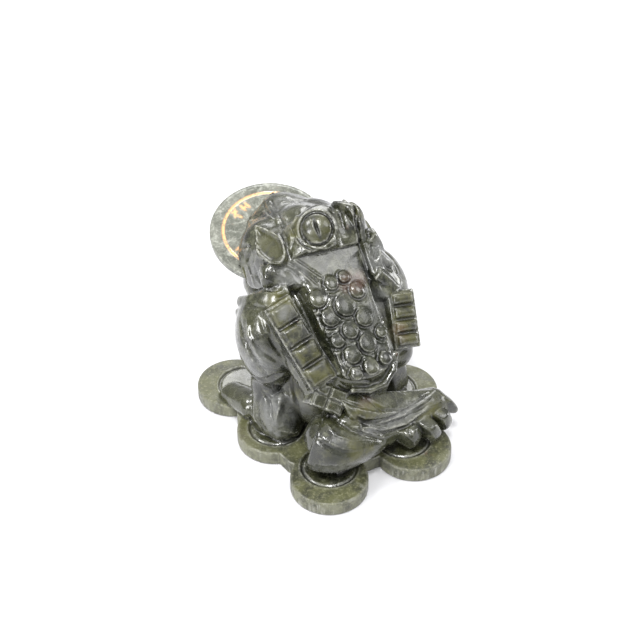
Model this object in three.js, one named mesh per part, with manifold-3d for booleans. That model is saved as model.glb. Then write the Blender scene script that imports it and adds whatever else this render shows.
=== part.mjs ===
// A carved stone three-legged toad that sits on a bed of coins and holds a stone coin in its mouth.
// Millimetres, +Z up. The origin is under the middle of the bed. The toad looks along -Y; its left is +X.
import * as THREE from "three";
import { mergeVertices } from "three/addons/utils/BufferGeometryUtils.js";
import Module from "manifold-3d";

// Driving sizes in millimetres
const FIGURE_HEIGHT = 79; // the toad above the bed, to the top of its eyes
const BED_THICKNESS = 5.5;
const BED_COIN_RADIUS = 13.6;
const BED_EDGE_BEVEL = 0.8;
const RING_RADIUS = 9.4; // the ring cut into the top of each coin of the bed
const RING_WIDTH = 1.2;
const RING_DEPTH = 0.7;
const MOUTH_COIN_RADIUS = 22;
const MOUTH_COIN_THICKNESS = 3.2;
const MOUTH_COIN_BEVEL = 0.7;
const MOUTH_CLEARANCE = 0.35; // all round the coin in its slot
const MOUTH_RING_RADIUS = 17; // the ring cut into the top of the coin in the mouth
const MOUTH_RING_WIDTH = 0.9;
const MOUTH_RING_DEPTH = 0.35;
const EYE_RADIUS = 5.4;
const EYE_RIM_RADIUS = 7;
const EYE_RIM_THICKNESS = 2.2;
const PUPIL_WIDTH = 1.3;
const PUPIL_DEPTH = 1.1;
const STRAP_WIDTH = 10.5; // one string of coins
const STRAP_DEPTH = 7;
const STRAP_BORDER = 1.2;
const BLOCK_HEIGHT = 1.7; // how far a coin of the string stands out
const BLOCK_GAP = 1.3;
const BLOCKS_PER_STRING = 4;
const WART_RADIUS = 2.5;
const GROOVE_WIDTH = 3.4; // the two deep cuts beside the back
const GROOVE_DEPTH = 5;
const FOLD_WIDTH = 1.9; // the shallow cuts on the cheeks and legs
const FOLD_DEPTH = 1.5;

// How many flat sides each round form has
const BED_COIN_SIDES = 20;
const RING_SIDES = 14;
const MOUTH_COIN_SIDES = 32;
const EYE_SIDES = 10;
const WART_SIDES = 6;
const TOE_SIDES = 5;

// The toad is laid out on a carver's grid of this many steps to its height. Its pose, its proportions and
// its carving are given in steps, with heights counted from the top of the bed.
const GRID_STEPS = 79;
const STEP = FIGURE_HEIGHT / GRID_STEPS;
const BODY_CELL_STEPS = 5; // the facet size of the body
const BODY_BLEND_STEPS = 4; // how softly the body's forms run together
const CREASE_BLEND_STEPS = 1.2;
const BODY_SINK = BED_THICKNESS * 0.4; // how deep the body reaches into the bed

// Bed of coins: where each coin lies, in steps, going round from the toad's front left
const BED_COINS = [
  [24.9, -27.5], [25, 2], [22, 33.2], [-11.8, 36], [-26, 8.8], [-24, -20.5], [0.5, -37.5],
];
// The plate between the coins, through the notches that show between them
const BED_PLATE = [
  [32.9, -11.5], [30.1, 19.8], [20, 34], [6.1, 34.2], [-10, 36], [-24, 22], [-33, -5.5],
  [-15.5, -32], [14.5, -37],
];

const wasm = await Module();
wasm.setup();

const vec = (p) => new THREE.Vector3(p[0], p[1], p[2]);
const mirrored = (p) => [-p[0], p[1], p[2]];

// A place on the carver's grid in millimetres
function place([x, y, z]) {
  return new THREE.Vector3(x * STEP, y * STEP, BED_THICKNESS + z * STEP);
}

function solid(geometry) {
  const bare = new THREE.BufferGeometry();
  const source = geometry.index ? geometry.toNonIndexed() : geometry;
  bare.setAttribute("position", source.getAttribute("position").clone());
  const merged = mergeVertices(bare, 1e-4);
  const vertProperties = new Float32Array(merged.getAttribute("position").array);
  const triVerts = new Uint32Array(merged.index.array);
  return new wasm.Manifold(new wasm.Mesh({ numProp: 3, vertProperties, triVerts }));
}

function geometryOf(manifold) {
  const { vertProperties, triVerts } = manifold.getMesh();
  const geometry = new THREE.BufferGeometry();
  geometry.setAttribute("position", new THREE.BufferAttribute(new Float32Array(vertProperties), 3));
  geometry.setIndex(new THREE.BufferAttribute(new Uint32Array(triVerts), 1));
  geometry.computeVertexNormals();
  return geometry;
}

function joined(manifolds) {
  return manifolds.reduce((whole, piece) => whole.add(piece));
}

// A frame whose Y axis runs along one direction and whose Z axis faces as near as it can to another
function frame(origin, along, facing) {
  const y = along.clone().normalize();
  const x = new THREE.Vector3().crossVectors(y, facing).normalize();
  const z = new THREE.Vector3().crossVectors(x, y);
  return new THREE.Matrix4().makeBasis(x, y, z).setPosition(origin);
}

// Head: it is turned a little to the toad's left about this place on the grid
const HEAD_TURN = THREE.MathUtils.degToRad(8);
const HEAD_CENTRE = [-6.4, -8];
function headPlace([x, y, z]) {
  const turned = new THREE.Vector2(x, y).rotateAround(new THREE.Vector2(), HEAD_TURN);
  return [turned.x + HEAD_CENTRE[0], turned.y + HEAD_CENTRE[1], z];
}

// Body forms on the grid. A lump is an ellipsoid with a tilt about X in degrees; a limb is a tapered round
// bar, and its width says how much wider than deep it is.
const lump = (centre, radii, tilt = 0) => ({ centre, radii, tilt });
const limb = (from, to, startRadius, endRadius, width = 1) => ({ from, to, startRadius, endRadius, width });

const torso = [
  lump([0, 2, 18], [24, 21, 24]),
  lump([0, -8, 36], [22, 18, 21]),
  limb([0, -7, 52], [0, 21.5, 29], 11.5, 10.5, 1.36),
  limb([21.5, -3, 51], [16, 17.5, 28], 6.5, 6.5),
  limb([-20.5, -1, 49], [-16, 17.5, 28], 6.5, 6.5),
];
const head = [
  lump(headPlace([0, -6, 57]), [17, 15, 14]),
  lump(headPlace([13.5, -7, 57]), [9, 14, 12]),
  lump(headPlace([-12, -7, 56]), [9, 14, 11]),
  lump(headPlace([7.8, -0.5, 67.5]), [8.5, 9.5, 9]),
  lump(headPlace([-7.5, 0, 65.5]), [8, 9.5, 9]),
  lump(headPlace([0, -17, 61]), [9, 14, 9], 18),
  lump(headPlace([9.5, -21, 53]), [12, 13.5, 11.5]),
  lump(headPlace([-9.5, -21, 53]), [12, 13.5, 11.5]),
  lump(headPlace([0.5, -32, 51]), [11, 12, 9]),
  lump(headPlace([0, -28, 40]), [14, 13, 7]),
  lump(headPlace([8, -18, 41]), [14.5, 15, 9]),
  lump(headPlace([-7, -18, 41]), [13, 14, 8.5]),
];
const frontLegs = [];
for (const side of [1, -1]) {
  frontLegs.push(lump([side * 23.5, -4, 35], [10.5, 12.5, 19], 12));
  frontLegs.push(limb([side * 24, -2, 17], [side * 21.5, 3, 1], 8.5, 9.5));
  frontLegs.push(limb([side * 24, -2, 3], [side * 26, -10, 1], 7, 5));
}
const hindLeg = [
  lump([19.5, 29, 11], [11.5, 10.5, 11.5]),
  limb([17, 31, 11], [-4, 36, 7], 8.5, 3.6),
  limb([10, 27, 13.5], [-25, 30, 9], 8.5, 6),
];

function lumpDistance({ centre, radii, tilt }) {
  const rotation = new THREE.Euler(THREE.MathUtils.degToRad(tilt), 0, 0);
  const inverse = new THREE.Matrix4().makeRotationFromEuler(rotation).invert();
  const middle = vec(centre);
  const size = vec(radii);
  const local = new THREE.Vector3();
  return (point) => {
    local.copy(point).sub(middle).applyMatrix4(inverse).divide(size);
    const near = local.length();
    return (near * (near - 1)) / Math.max(local.divide(size).length(), 1e-9);
  };
}

function limbDistance({ from, to, startRadius, endRadius, width }) {
  const narrow = (p) => new THREE.Vector3(p[0] / width, p[1], p[2]);
  const start = narrow(from);
  const line = narrow(to).sub(start);
  const lengthSquared = line.lengthSq();
  const local = new THREE.Vector3();
  return (point) => {
    local.set(point.x / width, point.y, point.z).sub(start);
    const share = THREE.MathUtils.clamp(local.dot(line) / lengthSquared, 0, 1);
    const radius = THREE.MathUtils.lerp(startRadius, endRadius, share);
    return local.addScaledVector(line, -share).length() - radius;
  };
}

function softMin(a, b, blend) {
  const overlap = Math.max(blend - Math.abs(a - b), 0) / blend;
  return Math.min(a, b) - (overlap * overlap * blend) / 4;
}

// Each group runs softly together in itself, and meets the other groups in a crease
const bodyGroups = [torso, head, frontLegs, hindLeg].map((group) =>
  group.map((form) => (form.radii ? lumpDistance(form) : limbDistance(form))),
);
function bodyDistance(point) {
  let whole = Infinity;
  for (const group of bodyGroups) {
    const near = group.reduce((found, form) => softMin(found, form(point), BODY_BLEND_STEPS), Infinity);
    whole = softMin(whole, near, CREASE_BLEND_STEPS);
  }
  return whole;
}

// A closed faceted surface round the points where the distance is below zero, on the carver's grid
function surfaceOf(distance, low, high, cell) {
  const count = low.map((v, i) => Math.ceil((high[i] - v) / cell) + 1);
  const at = (i, j, k) => (k * count[1] + j) * count[0] + i;
  const cornerAt = (i, j, k) => new THREE.Vector3(low[0] + i * cell, low[1] + j * cell, low[2] + k * cell);
  const corners = [0, 1, 2, 3, 4, 5, 6, 7].map((n) => [n & 1, (n >> 1) & 1, n >> 2]);
  const cornersOf = (i, j, k) => corners.map((c) => at(i + c[0], j + c[1], k + c[2]));
  const values = new Float64Array(count[0] * count[1] * count[2]);

  function eachPlace(from, below, use) {
    for (let k = from; k < count[2] - below; k++) {
      for (let j = from; j < count[1] - below; j++) {
        for (let i = from; i < count[0] - below; i++) {
          use(i, j, k);
        }
      }
    }
  }

  // Whether the corners of a cell that are all inside, or all outside, hang together
  function inOnePiece(found, inside) {
    const left = new Set(found.keys().filter((n) => found[n] < 0 === inside));
    const reached = [...left].slice(0, 1);
    for (const n of reached) {
      left.delete(n);
      reached.push(...[n ^ 1, n ^ 2, n ^ 4].filter((m) => left.delete(m)));
    }
    return left.size === 0;
  }

  // A gap between two forms that is finer than a facet is filled, so the surface never touches itself
  const filled = new Set();
  function fillGap(i, j, k) {
    const cellCorners = cornersOf(i, j, k);
    const found = cellCorners.map((n) => values[n]);
    if (inOnePiece(found, true) && inOnePiece(found, false)) return;
    const nearest = found.reduce((best, v, n) => (v >= 0 && (best < 0 || v < found[best]) ? n : best), -1);
    values[cellCorners[nearest]] = -cell / 10;
    filled.add(cellCorners[nearest]);
  }

  // The middle of the places where a cell's edges cross the surface
  function cellVertex(i, j, k) {
    const cellCorners = cornersOf(i, j, k);
    const sum = new THREE.Vector3();
    let crossings = 0;
    for (let a = 0; a < 8; a++) {
      for (const b of [a | 1, a | 2, a | 4]) {
        const va = values[cellCorners[a]];
        const vb = values[cellCorners[b]];
        if (va < 0 !== vb < 0) {
          sum.add(vec(corners[a]).lerp(vec(corners[b]), va / (va - vb)));
          crossings += 1;
        }
      }
    }
    if (!crossings) return null;
    const vertex = sum.multiplyScalar(cell / crossings).add(cornerAt(i, j, k));
    return cellCorners.some((n) => filled.has(n)) ? vertex : drawnToSurface(vertex);
  }

  function drawnToSurface(vertex) {
    const nudge = cell / 50;
    for (let round = 0; round < 2; round++) {
      const here = distance(vertex);
      const slope = new THREE.Vector3();
      for (const axis of ["x", "y", "z"]) {
        const moved = vertex.clone();
        moved[axis] += nudge;
        slope[axis] = (distance(moved) - here) / nudge;
      }
      const move = THREE.MathUtils.clamp(here / Math.max(slope.length(), 0.3), -cell / 3, cell / 3);
      vertex.addScaledVector(slope.normalize(), -move);
    }
    return vertex;
  }

  eachPlace(0, 0, (i, j, k) => {
    values[at(i, j, k)] = distance(cornerAt(i, j, k));
  });
  let filledBefore = -1;
  while (filled.size > filledBefore) {
    filledBefore = filled.size;
    eachPlace(0, 1, fillGap);
  }

  const positions = [];
  const indexOfCell = new Map();
  eachPlace(0, 1, (i, j, k) => {
    const vertex = cellVertex(i, j, k);
    if (vertex) {
      indexOfCell.set(at(i, j, k), positions.length / 3);
      positions.push(vertex.x, vertex.y, vertex.z);
    }
  });

  // Wherever the surface passes between two corners, the four cells round that edge make a facet
  const triangles = [];
  eachPlace(1, 1, (i, j, k) => {
    const here = at(i, j, k);
    const inside = values[here] < 0;
    const ways = [at(1, 0, 0), at(0, 1, 0), at(0, 0, 1)];
    for (let axis = 0; axis < 3; axis++) {
      if (values[here + ways[axis]] < 0 === inside) continue;
      const u = ways[(axis + 1) % 3];
      const v = ways[(axis + 2) % 3];
      const around = [here, here - u, here - u - v, here - v].map((n) => indexOfCell.get(n));
      if (!inside) around.reverse();
      triangles.push(around[0], around[1], around[2], around[0], around[2], around[3]);
    }
  });
  const geometry = new THREE.BufferGeometry();
  geometry.setAttribute("position", new THREE.BufferAttribute(new Float32Array(positions), 3));
  geometry.setIndex(triangles);
  return geometry;
}

function body() {
  const geometry = surfaceOf(bodyDistance, [-42, -60, -14], [42, 52, 90], BODY_CELL_STEPS);
  geometry.scale(STEP, STEP, STEP).translate(0, 0, BED_THICKNESS);
  const cutLevel = BED_THICKNESS - BODY_SINK;
  const below = new THREE.BoxGeometry(FIGURE_HEIGHT * 2, FIGURE_HEIGHT * 2, FIGURE_HEIGHT);
  below.translate(0, 0, cutLevel - FIGURE_HEIGHT / 2);
  return solid(geometry).subtract(solid(below));
}

// A flat round disc with bevelled edges, standing on z = 0
function disc(radius, thickness, bevel, segments) {
  const profile = [
    [0, 0], [radius - bevel, 0], [radius, bevel], [radius, thickness - bevel], [radius - bevel, thickness],
    [0, thickness],
  ];
  const geometry = new THREE.LatheGeometry(profile.map((p) => new THREE.Vector2(...p)), segments);
  return geometry.rotateX(Math.PI / 2);
}

function ring(radius, width, depth, segments) {
  const inner = radius - width / 2;
  const outer = radius + width / 2;
  const profile = [[radius, -depth], [outer, depth], [inner, depth], [radius, -depth]];
  const geometry = new THREE.LatheGeometry(profile.map((p) => new THREE.Vector2(...p)), segments);
  return geometry.rotateX(Math.PI / 2);
}

function bed() {
  const outline = new THREE.Shape(BED_PLATE.map(([x, y]) => new THREE.Vector2(x * STEP, y * STEP)));
  const plate = new THREE.ExtrudeGeometry(outline, { depth: BED_THICKNESS, bevelEnabled: false });
  const coins = BED_COINS.map(([x, y]) => {
    const coin = disc(BED_COIN_RADIUS, BED_THICKNESS, BED_EDGE_BEVEL, BED_COIN_SIDES);
    return solid(coin.translate(x * STEP, y * STEP, 0));
  });
  const rings = BED_COINS.map(([x, y]) => {
    const cut = ring(RING_RADIUS, RING_WIDTH, RING_DEPTH, RING_SIDES);
    return solid(cut.translate(x * STEP, y * STEP, BED_THICKNESS));
  });
  return joined([solid(plate), ...coins]).subtract(joined(rings));
}

// A wedge along Y that cuts down from z = 0, as wide there as it is told
function wedge(length, width, depth) {
  const cut = new THREE.CylinderGeometry(1, 1, 1, 3, 1).rotateY(Math.PI);
  return cut.scale(width * 0.87, length, depth);
}

// An eye is a flattened ball in a raised round rim, with an upright slit
const EYE_FLATNESS = 0.8;
function eye(side) {
  const centre = place(headPlace(side > 0 ? [7.6, 2, 74.5] : [-7.4, 2.5, 72]));
  const facing = new THREE.Vector3(side * 0.42, 0.55, 0.68).normalize();
  const turn = frame(centre, new THREE.Vector3(side, -0.6, 0), facing);
  const ball = new THREE.SphereGeometry(EYE_RADIUS, EYE_SIDES, EYE_SIDES / 2);
  ball.rotateX(Math.PI / 2).scale(1, 1, EYE_FLATNESS).applyMatrix4(turn);
  const half = EYE_RIM_THICKNESS / 2;
  const profile = new THREE.Path().absarc(EYE_RIM_RADIUS - half, 0, half, 0, Math.PI * 2).getPoints(2);
  const rim = new THREE.LatheGeometry(profile, EYE_SIDES).rotateX(Math.PI / 2).applyMatrix4(turn);
  const slit = wedge(EYE_RADIUS * 1.5, PUPIL_WIDTH, PUPIL_DEPTH).rotateZ(Math.PI / 2);
  slit.translate(0, 0, EYE_RADIUS * EYE_FLATNESS).applyMatrix4(turn);
  return { raised: solid(ball).add(solid(rim)), slit: solid(slit) };
}

// An ear is a leaf with a hollow face
function ear(side) {
  const root = place(side > 0 ? [14.5, -2.5, 65] : [-20.5, -1, 60]);
  const tip = place(side > 0 ? [14, -20, 67] : [-19, -16, 63.5]);
  const along = tip.clone().sub(root);
  const middle = root.clone().lerp(tip, 0.5);
  const turn = frame(middle, along, new THREE.Vector3(side * 0.55, 0.35, 0.75));
  const leaf = new THREE.SphereGeometry(1, 10, 7).rotateX(Math.PI / 2);
  const hollow = leaf.clone();
  const half = along.length() / 2;
  leaf.scale(4.6 * STEP, half * 1.1, 4 * STEP).applyMatrix4(turn);
  hollow.scale(3.2 * STEP, half * 0.85, 2.4 * STEP).translate(0, 0, 3.6 * STEP).applyMatrix4(turn);
  return { leaf: solid(leaf), hollow: solid(hollow) };
}

// A string of coins is a strap with square blocks standing on it
function coinString(top, bottom, facing) {
  const start = place(top);
  const along = place(bottom).sub(start);
  const length = along.length();
  const turn = frame(start, along, vec(facing));
  const strap = new THREE.BoxGeometry(STRAP_WIDTH, length, STRAP_DEPTH);
  strap.translate(0, length / 2, -STRAP_DEPTH / 2).applyMatrix4(turn);
  const pitch = (length - BLOCK_GAP) / BLOCKS_PER_STRING;
  const width = STRAP_WIDTH - 2 * STRAP_BORDER;
  const blocks = [];
  for (let i = 0; i < BLOCKS_PER_STRING; i++) {
    const block = new THREE.CylinderGeometry(0.36, 0.5, 1, 4, 1).rotateX(Math.PI / 2).rotateZ(Math.PI / 4);
    block.scale(width * Math.SQRT2, (pitch - BLOCK_GAP) * Math.SQRT2, BLOCK_HEIGHT * 2);
    const middle = pitch * (i + 0.5) + BLOCK_GAP / 2;
    blocks.push(solid(block.translate(0, middle, 0).applyMatrix4(turn)));
  }
  return joined([solid(strap), ...blocks]);
}

// The knot that ends the left string, under the end of the back
function tassel() {
  const along = new THREE.Vector3(-0.3, 0.6, -0.74);
  const turn = frame(place([15.5, 25, 26]), along, new THREE.Vector3(0.3, 0.7, 0.6));
  return solid(new THREE.BoxGeometry(9 * STEP, 8.5 * STEP, 9 * STEP).applyMatrix4(turn));
}

// Warts on the back: rows down the slope, given as sideways places and a share of the way down
const BACK_TOP = [0, 1.2, 62.1];
const BACK_END = [0, 30.5, 38];
const WART_ROWS = [
  [0.12, [-6.4, 0.8]], [0.22, [-11, 9.5]], [0.36, [-5.8, 1.2]], [0.46, [-9.5, 8.8]], [0.57, [-2.8, 4.8]],
  [0.7, [-8.4, -0.2, 8.3]], [0.89, [-6.4, 1.6, 8]],
];
function warts() {
  const found = [];
  for (const [share, sideways] of WART_ROWS) {
    const spine = vec(BACK_TOP).lerp(vec(BACK_END), share);
    for (const x of sideways) {
      found.push(onBody(new THREE.Vector3(x, spine.y, spine.z), new THREE.Vector3(x / 40, 0.62, 0.76)));
    }
  }
  return found.map((point) => {
    const wart = new THREE.SphereGeometry(WART_RADIUS, WART_SIDES, 3);
    const centre = place([point.x, point.y, point.z]);
    return solid(wart.translate(centre.x, centre.y, centre.z));
  });
}

// The place where a line from outside, run inwards against a direction, meets the body
function onBody(point, direction) {
  const unit = direction.clone().normalize();
  const found = point.clone().addScaledVector(unit, 12);
  for (let round = 0; round < 60; round++) {
    const gap = bodyDistance(found);
    if (gap < 0.02) break;
    found.addScaledVector(unit, -gap * 0.7);
  }
  return found;
}

// A groove is cut along a chain of places that lie on the body
function groove(points, facing, width, depth) {
  const route = points.map((p) => place(onBody(vec(p), vec(facing)).toArray()));
  const cuts = [];
  for (let i = 0; i + 1 < route.length; i++) {
    const along = route[i + 1].clone().sub(route[i]);
    const turn = frame(route[i].clone().lerp(route[i + 1], 0.5), along, vec(facing));
    cuts.push(solid(wedge(along.length() * 1.08, width, depth).applyMatrix4(turn)));
  }
  return joined(cuts);
}

// The two deep grooves beside the back, as places on the left one
const BACK_GROOVE = [[15, -1, 60], [14.3, 6, 54], [13.3, 15, 47], [12, 25, 40]];
// The right one starts on the head, behind the eye
const HEAD_GROOVE = [[-12.6, -7.2, 76.6], [-11.6, -1.2, 70], [-13, -0.5, 61]];
// Folds on the left cheek and the left front leg, and the streaks over the hind leg
const CHEEK_FOLDS = [
  [[20.7, -17, 60], [21.9, -5, 57]],
  [[20, -22, 55], [20, -21, 49]],
];
const ARM_FOLD = [[31.5, -1.6, 45.5], [32.5, 2.1, 35.3], [30.6, 3.5, 24]];
const STREAKS = [
  [[12.8, 31, 26.8], [1.9, 32.3, 18.8], [-7.4, 34.3, 15.6], [-22, 33.4, 14.3]],
  [[13.2, 30.6, 21.7], [5.3, 34.9, 16.8], [-5.1, 36.5, 11.9], [-19.1, 35.1, 12]],
];
function bodyCuts() {
  const cuts = [groove(HEAD_GROOVE, [-0.1, 0.7, 0.7], GROOVE_WIDTH, GROOVE_DEPTH)];
  for (const side of [1, -1]) {
    const across = ([x, y, z]) => [x * side, y, z];
    cuts.push(groove(BACK_GROOVE.map(across), [side * 0.2, 0.62, 0.76], GROOVE_WIDTH, GROOVE_DEPTH));
    cuts.push(groove(ARM_FOLD.map(across), [side * 0.95, 0.3, 0.1], FOLD_WIDTH, FOLD_DEPTH));
    for (const fold of CHEEK_FOLDS) {
      const route = fold.map(across).map(headPlace);
      cuts.push(groove(route, [side, side * 0.14, 0.2], FOLD_WIDTH, FOLD_DEPTH));
    }
  }
  for (const streak of STREAKS) {
    cuts.push(groove(streak, [0, 0.75, 0.66], FOLD_WIDTH, FOLD_DEPTH));
  }
  return joined(cuts);
}

// A toe is a blunt claw that lies on the bed
function toe(from, to, startRadius, endRadius) {
  const start = place(from);
  const end = place(to);
  const along = end.clone().sub(start);
  const radii = [endRadius * STEP, startRadius * STEP];
  const claw = new THREE.CylinderGeometry(...radii, along.length(), TOE_SIDES, 1);
  const tip = new THREE.SphereGeometry(endRadius * STEP, TOE_SIDES, 3);
  claw.applyMatrix4(frame(start.clone().lerp(end, 0.5), along, new THREE.Vector3(0, 0, 1)));
  return solid(claw).add(solid(tip.translate(end.x, end.y, end.z)));
}

const HIND_TOES = [
  [[-5, 33, 9], [-11, 41, 3], 4.2, 3.2],
  [[-11, 33, 9], [-18, 42, 3], 4, 2.6],
  [[-17, 31, 9], [-26, 38, 3], 4, 2.5],
  [[-21, 28, 10], [-33, 31, 4.5], 4.2, 2.4],
];
const FRONT_TOES = [-26, 0, 26].map((spread) => {
  const angle = THREE.MathUtils.degToRad(spread);
  const tip = [26.5 + 9 * Math.sin(angle), -8 - 9 * Math.cos(angle), 2];
  return [[26, -7, 3], tip, 3.6, 2.2];
});

function mouthCoinFrame() {
  const centre = place([0.4, -39.5, 52.1]);
  const normal = new THREE.Vector3(0.15, 0.28, 0.948);
  return frame(centre, new THREE.Vector3(0, -0.959, 0.283), normal);
}

function mouthCoin() {
  const coin = disc(MOUTH_COIN_RADIUS, MOUTH_COIN_THICKNESS, MOUTH_COIN_BEVEL, MOUTH_COIN_SIDES);
  const cut = ring(MOUTH_RING_RADIUS, MOUTH_RING_WIDTH, MOUTH_RING_DEPTH, MOUTH_COIN_SIDES);
  coin.translate(0, 0, -MOUTH_COIN_THICKNESS / 2).applyMatrix4(mouthCoinFrame());
  cut.translate(0, 0, MOUTH_COIN_THICKNESS / 2).applyMatrix4(mouthCoinFrame());
  return solid(coin).subtract(solid(cut));
}

function mouthSlot() {
  const height = MOUTH_COIN_THICKNESS + 2 * MOUTH_CLEARANCE;
  const slot = disc(MOUTH_COIN_RADIUS + MOUTH_CLEARANCE, height, MOUTH_COIN_BEVEL, MOUTH_COIN_SIDES);
  return solid(slot.translate(0, 0, -height / 2).applyMatrix4(mouthCoinFrame()));
}

function toadOnCoins() {
  const eyes = [eye(1), eye(-1)];
  const ears = [ear(1), ear(-1)];
  const rightToes = FRONT_TOES.map(([from, to, ...radii]) => [mirrored(from), mirrored(to), ...radii]);
  const toes = [...HIND_TOES, ...FRONT_TOES, ...rightToes];
  const raised = joined([
    body().subtract(bodyCuts()),
    ...eyes.map((e) => e.raised),
    ...ears.map((e) => e.leaf),
    coinString([23.5, 3.3, 57], [17.5, 23.5, 33], [0.15, 0.76, 0.62]),
    coinString([-21.5, 11.5, 49], [-17, 23.5, 33], [-0.15, 0.76, 0.62]),
    tassel(),
    ...warts(),
    ...toes.map((t) => toe(...t)),
    bed(),
  ]);
  return raised.subtract(joined([...eyes.map((e) => e.slit), ...ears.map((e) => e.hollow), mouthSlot()]));
}

function node(name, manifold, finish) {
  const mesh = new THREE.Mesh(geometryOf(manifold), new THREE.MeshStandardMaterial(finish));
  mesh.name = name;
  return mesh;
}

const figure = new THREE.Group();
figure.add(node("toad_on_coins", toadOnCoins(), { color: 0x3a4330, roughness: 0.25, metalness: 0 }));
figure.add(node("mouth_coin", mouthCoin(), { color: 0x8f9878, roughness: 0.3, metalness: 0 }));

export default figure;
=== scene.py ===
"""A three-legged toad carved from dark green stone, sitting on a bed of coins with a stone coin in its mouth.

The toad is carved as a stone carver would do it: round and square forms are joined into a blank, the blank
is drawn onto their softened outline, and folds, beads, rings and toes are then cut with strokes. All sizes
of the carving are millimetres, with heights counted from the top of the bed.
"""

import math

import bmesh
import bpy
import numpy as np
import mathutils
from mathutils import Matrix, Vector


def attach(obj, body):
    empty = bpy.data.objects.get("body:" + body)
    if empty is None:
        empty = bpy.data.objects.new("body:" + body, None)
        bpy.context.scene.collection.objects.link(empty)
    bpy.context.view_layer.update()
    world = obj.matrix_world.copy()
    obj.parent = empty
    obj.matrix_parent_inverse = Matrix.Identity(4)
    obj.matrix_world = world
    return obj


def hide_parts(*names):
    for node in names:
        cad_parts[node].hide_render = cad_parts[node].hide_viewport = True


bl_info = {
    "name": "Stone money toad",
    "version": (1, 0, 0),
    "blender": (4, 5, 0),
    "location": "View3D > Sidebar > Toad",
    "description": "Carves a three-legged stone toad on a bed of coins, with a coin in its mouth",
    "category": "Object",
}

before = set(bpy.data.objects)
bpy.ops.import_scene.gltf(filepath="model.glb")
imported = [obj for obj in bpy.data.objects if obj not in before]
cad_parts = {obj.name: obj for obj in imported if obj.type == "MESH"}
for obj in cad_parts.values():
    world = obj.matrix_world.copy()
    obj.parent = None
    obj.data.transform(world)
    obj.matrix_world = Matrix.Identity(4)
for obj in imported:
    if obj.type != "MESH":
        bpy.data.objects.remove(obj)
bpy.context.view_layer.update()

MM = 0.001
BED = 5.5  # the bed's thickness, below height 0 of the carving
SOLID_BOX = ((-39.6, -51.2, -BED), (38.6, 49.6, 84.76 - BED))  # the corners of the toad's solid


# Frames and forms

def unit(v):
    return Vector(v).normalized()


def frame_at(origin, along, facing):
    """A frame with Y along one direction and Z as near as it can be to another."""
    y = unit(along)
    x = y.cross(unit(facing)).normalized()
    z = x.cross(y)
    matrix = Matrix((x, y, z)).transposed().to_4x4()
    return Matrix.Translation(Vector(origin)) @ matrix


def to_local(matrix, points):
    inverse = np.array(matrix.inverted())
    return points @ inverse[:3, :3].T + inverse[:3, 3]


def length(v):
    return np.sqrt(np.einsum("ij,ij->i", v, v))


def outside(over):
    """The distance to a form, from how far each place is past its sides."""
    return length(np.maximum(over, 0)) + np.minimum(over.max(axis=1), 0)


class Ball:
    """An ellipsoid."""

    def __init__(self, matrix, radii):
        self.matrix = matrix
        self.radii = np.array(radii, float)
        self.middle = np.array(matrix.translation)
        self.reach = max(radii)

    def add(self, bm):
        shape = self.matrix @ Matrix.Diagonal((*self.radii, 1))
        bmesh.ops.create_icosphere(bm, subdivisions=4, radius=1, matrix=shape)

    def distance(self, points):
        local = to_local(self.matrix, points) / self.radii
        near = length(local)
        return near * (near - 1) / np.maximum(length(local / self.radii), 1e-9)


class Bar:
    """A tapered round bar with round ends. Its width says how much wider than deep it is."""

    def __init__(self, start, end, start_radius, end_radius, width=1.0):
        self.start = Vector(start)
        self.end = Vector(end)
        self.start_radius = start_radius
        self.end_radius = end_radius
        self.width = width
        self.middle = np.array((self.start + self.end) / 2)
        self.reach = (self.end - self.start).length / 2 + max(start_radius, end_radius) * width

    def add(self, bm):
        widen = Matrix.Diagonal((self.width, 1, 1, 1))
        narrow = Vector((1 / self.width, 1, 1))
        start = self.start * narrow
        end = self.end * narrow
        turn = (end - start).to_track_quat("Z", "Y").to_matrix().to_4x4()
        bmesh.ops.create_cone(
            bm, cap_ends=True, segments=32, radius1=self.start_radius, radius2=self.end_radius,
            depth=(end - start).length, matrix=widen @ Matrix.Translation((start + end) / 2) @ turn,
        )
        for place, radius in ((start, self.start_radius), (end, self.end_radius)):
            bmesh.ops.create_icosphere(
                bm, subdivisions=3, radius=radius, matrix=widen @ Matrix.Translation(place)
            )

    def distance(self, points):
        narrow = np.array((1 / self.width, 1, 1))
        start = np.array(self.start) * narrow
        line = np.array(self.end) * narrow - start
        local = points * narrow - start
        share = np.clip(local @ line / (line @ line), 0, 1)
        radius = self.start_radius + (self.end_radius - self.start_radius) * share
        return length(local - share[:, None] * line) - radius


class Slab:
    """A box with softened edges."""

    def __init__(self, matrix, size, softness):
        self.matrix = matrix
        self.half = np.array(size, float) / 2
        self.softness = softness
        self.middle = np.array(matrix.translation)
        self.reach = float(np.linalg.norm(self.half))

    def add(self, bm):
        shape = self.matrix @ Matrix.Diagonal((*self.half, 1))
        bmesh.ops.create_cube(bm, size=2, matrix=shape)

    def distance(self, points):
        over = np.abs(to_local(self.matrix, points)) - (self.half - self.softness)
        return outside(over) - self.softness


class Disc:
    """A flat round disc with softened edges, about the Z axis of its frame."""

    def __init__(self, matrix, radius, thickness, softness):
        self.matrix = matrix
        self.radius = radius
        self.thickness = thickness
        self.softness = softness
        self.middle = np.array(matrix.translation)
        self.reach = radius + thickness

    def add(self, bm):
        bmesh.ops.create_cone(
            bm, cap_ends=True, segments=64, radius1=self.radius, radius2=self.radius,
            depth=self.thickness, matrix=self.matrix,
        )

    def distance(self, points):
        local = to_local(self.matrix, points)
        out = np.hypot(local[:, 0], local[:, 1]) - (self.radius - self.softness)
        up = np.abs(local[:, 2]) - (self.thickness / 2 - self.softness)
        over = np.stack([out, up], axis=1)
        return outside(over) - self.softness


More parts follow.
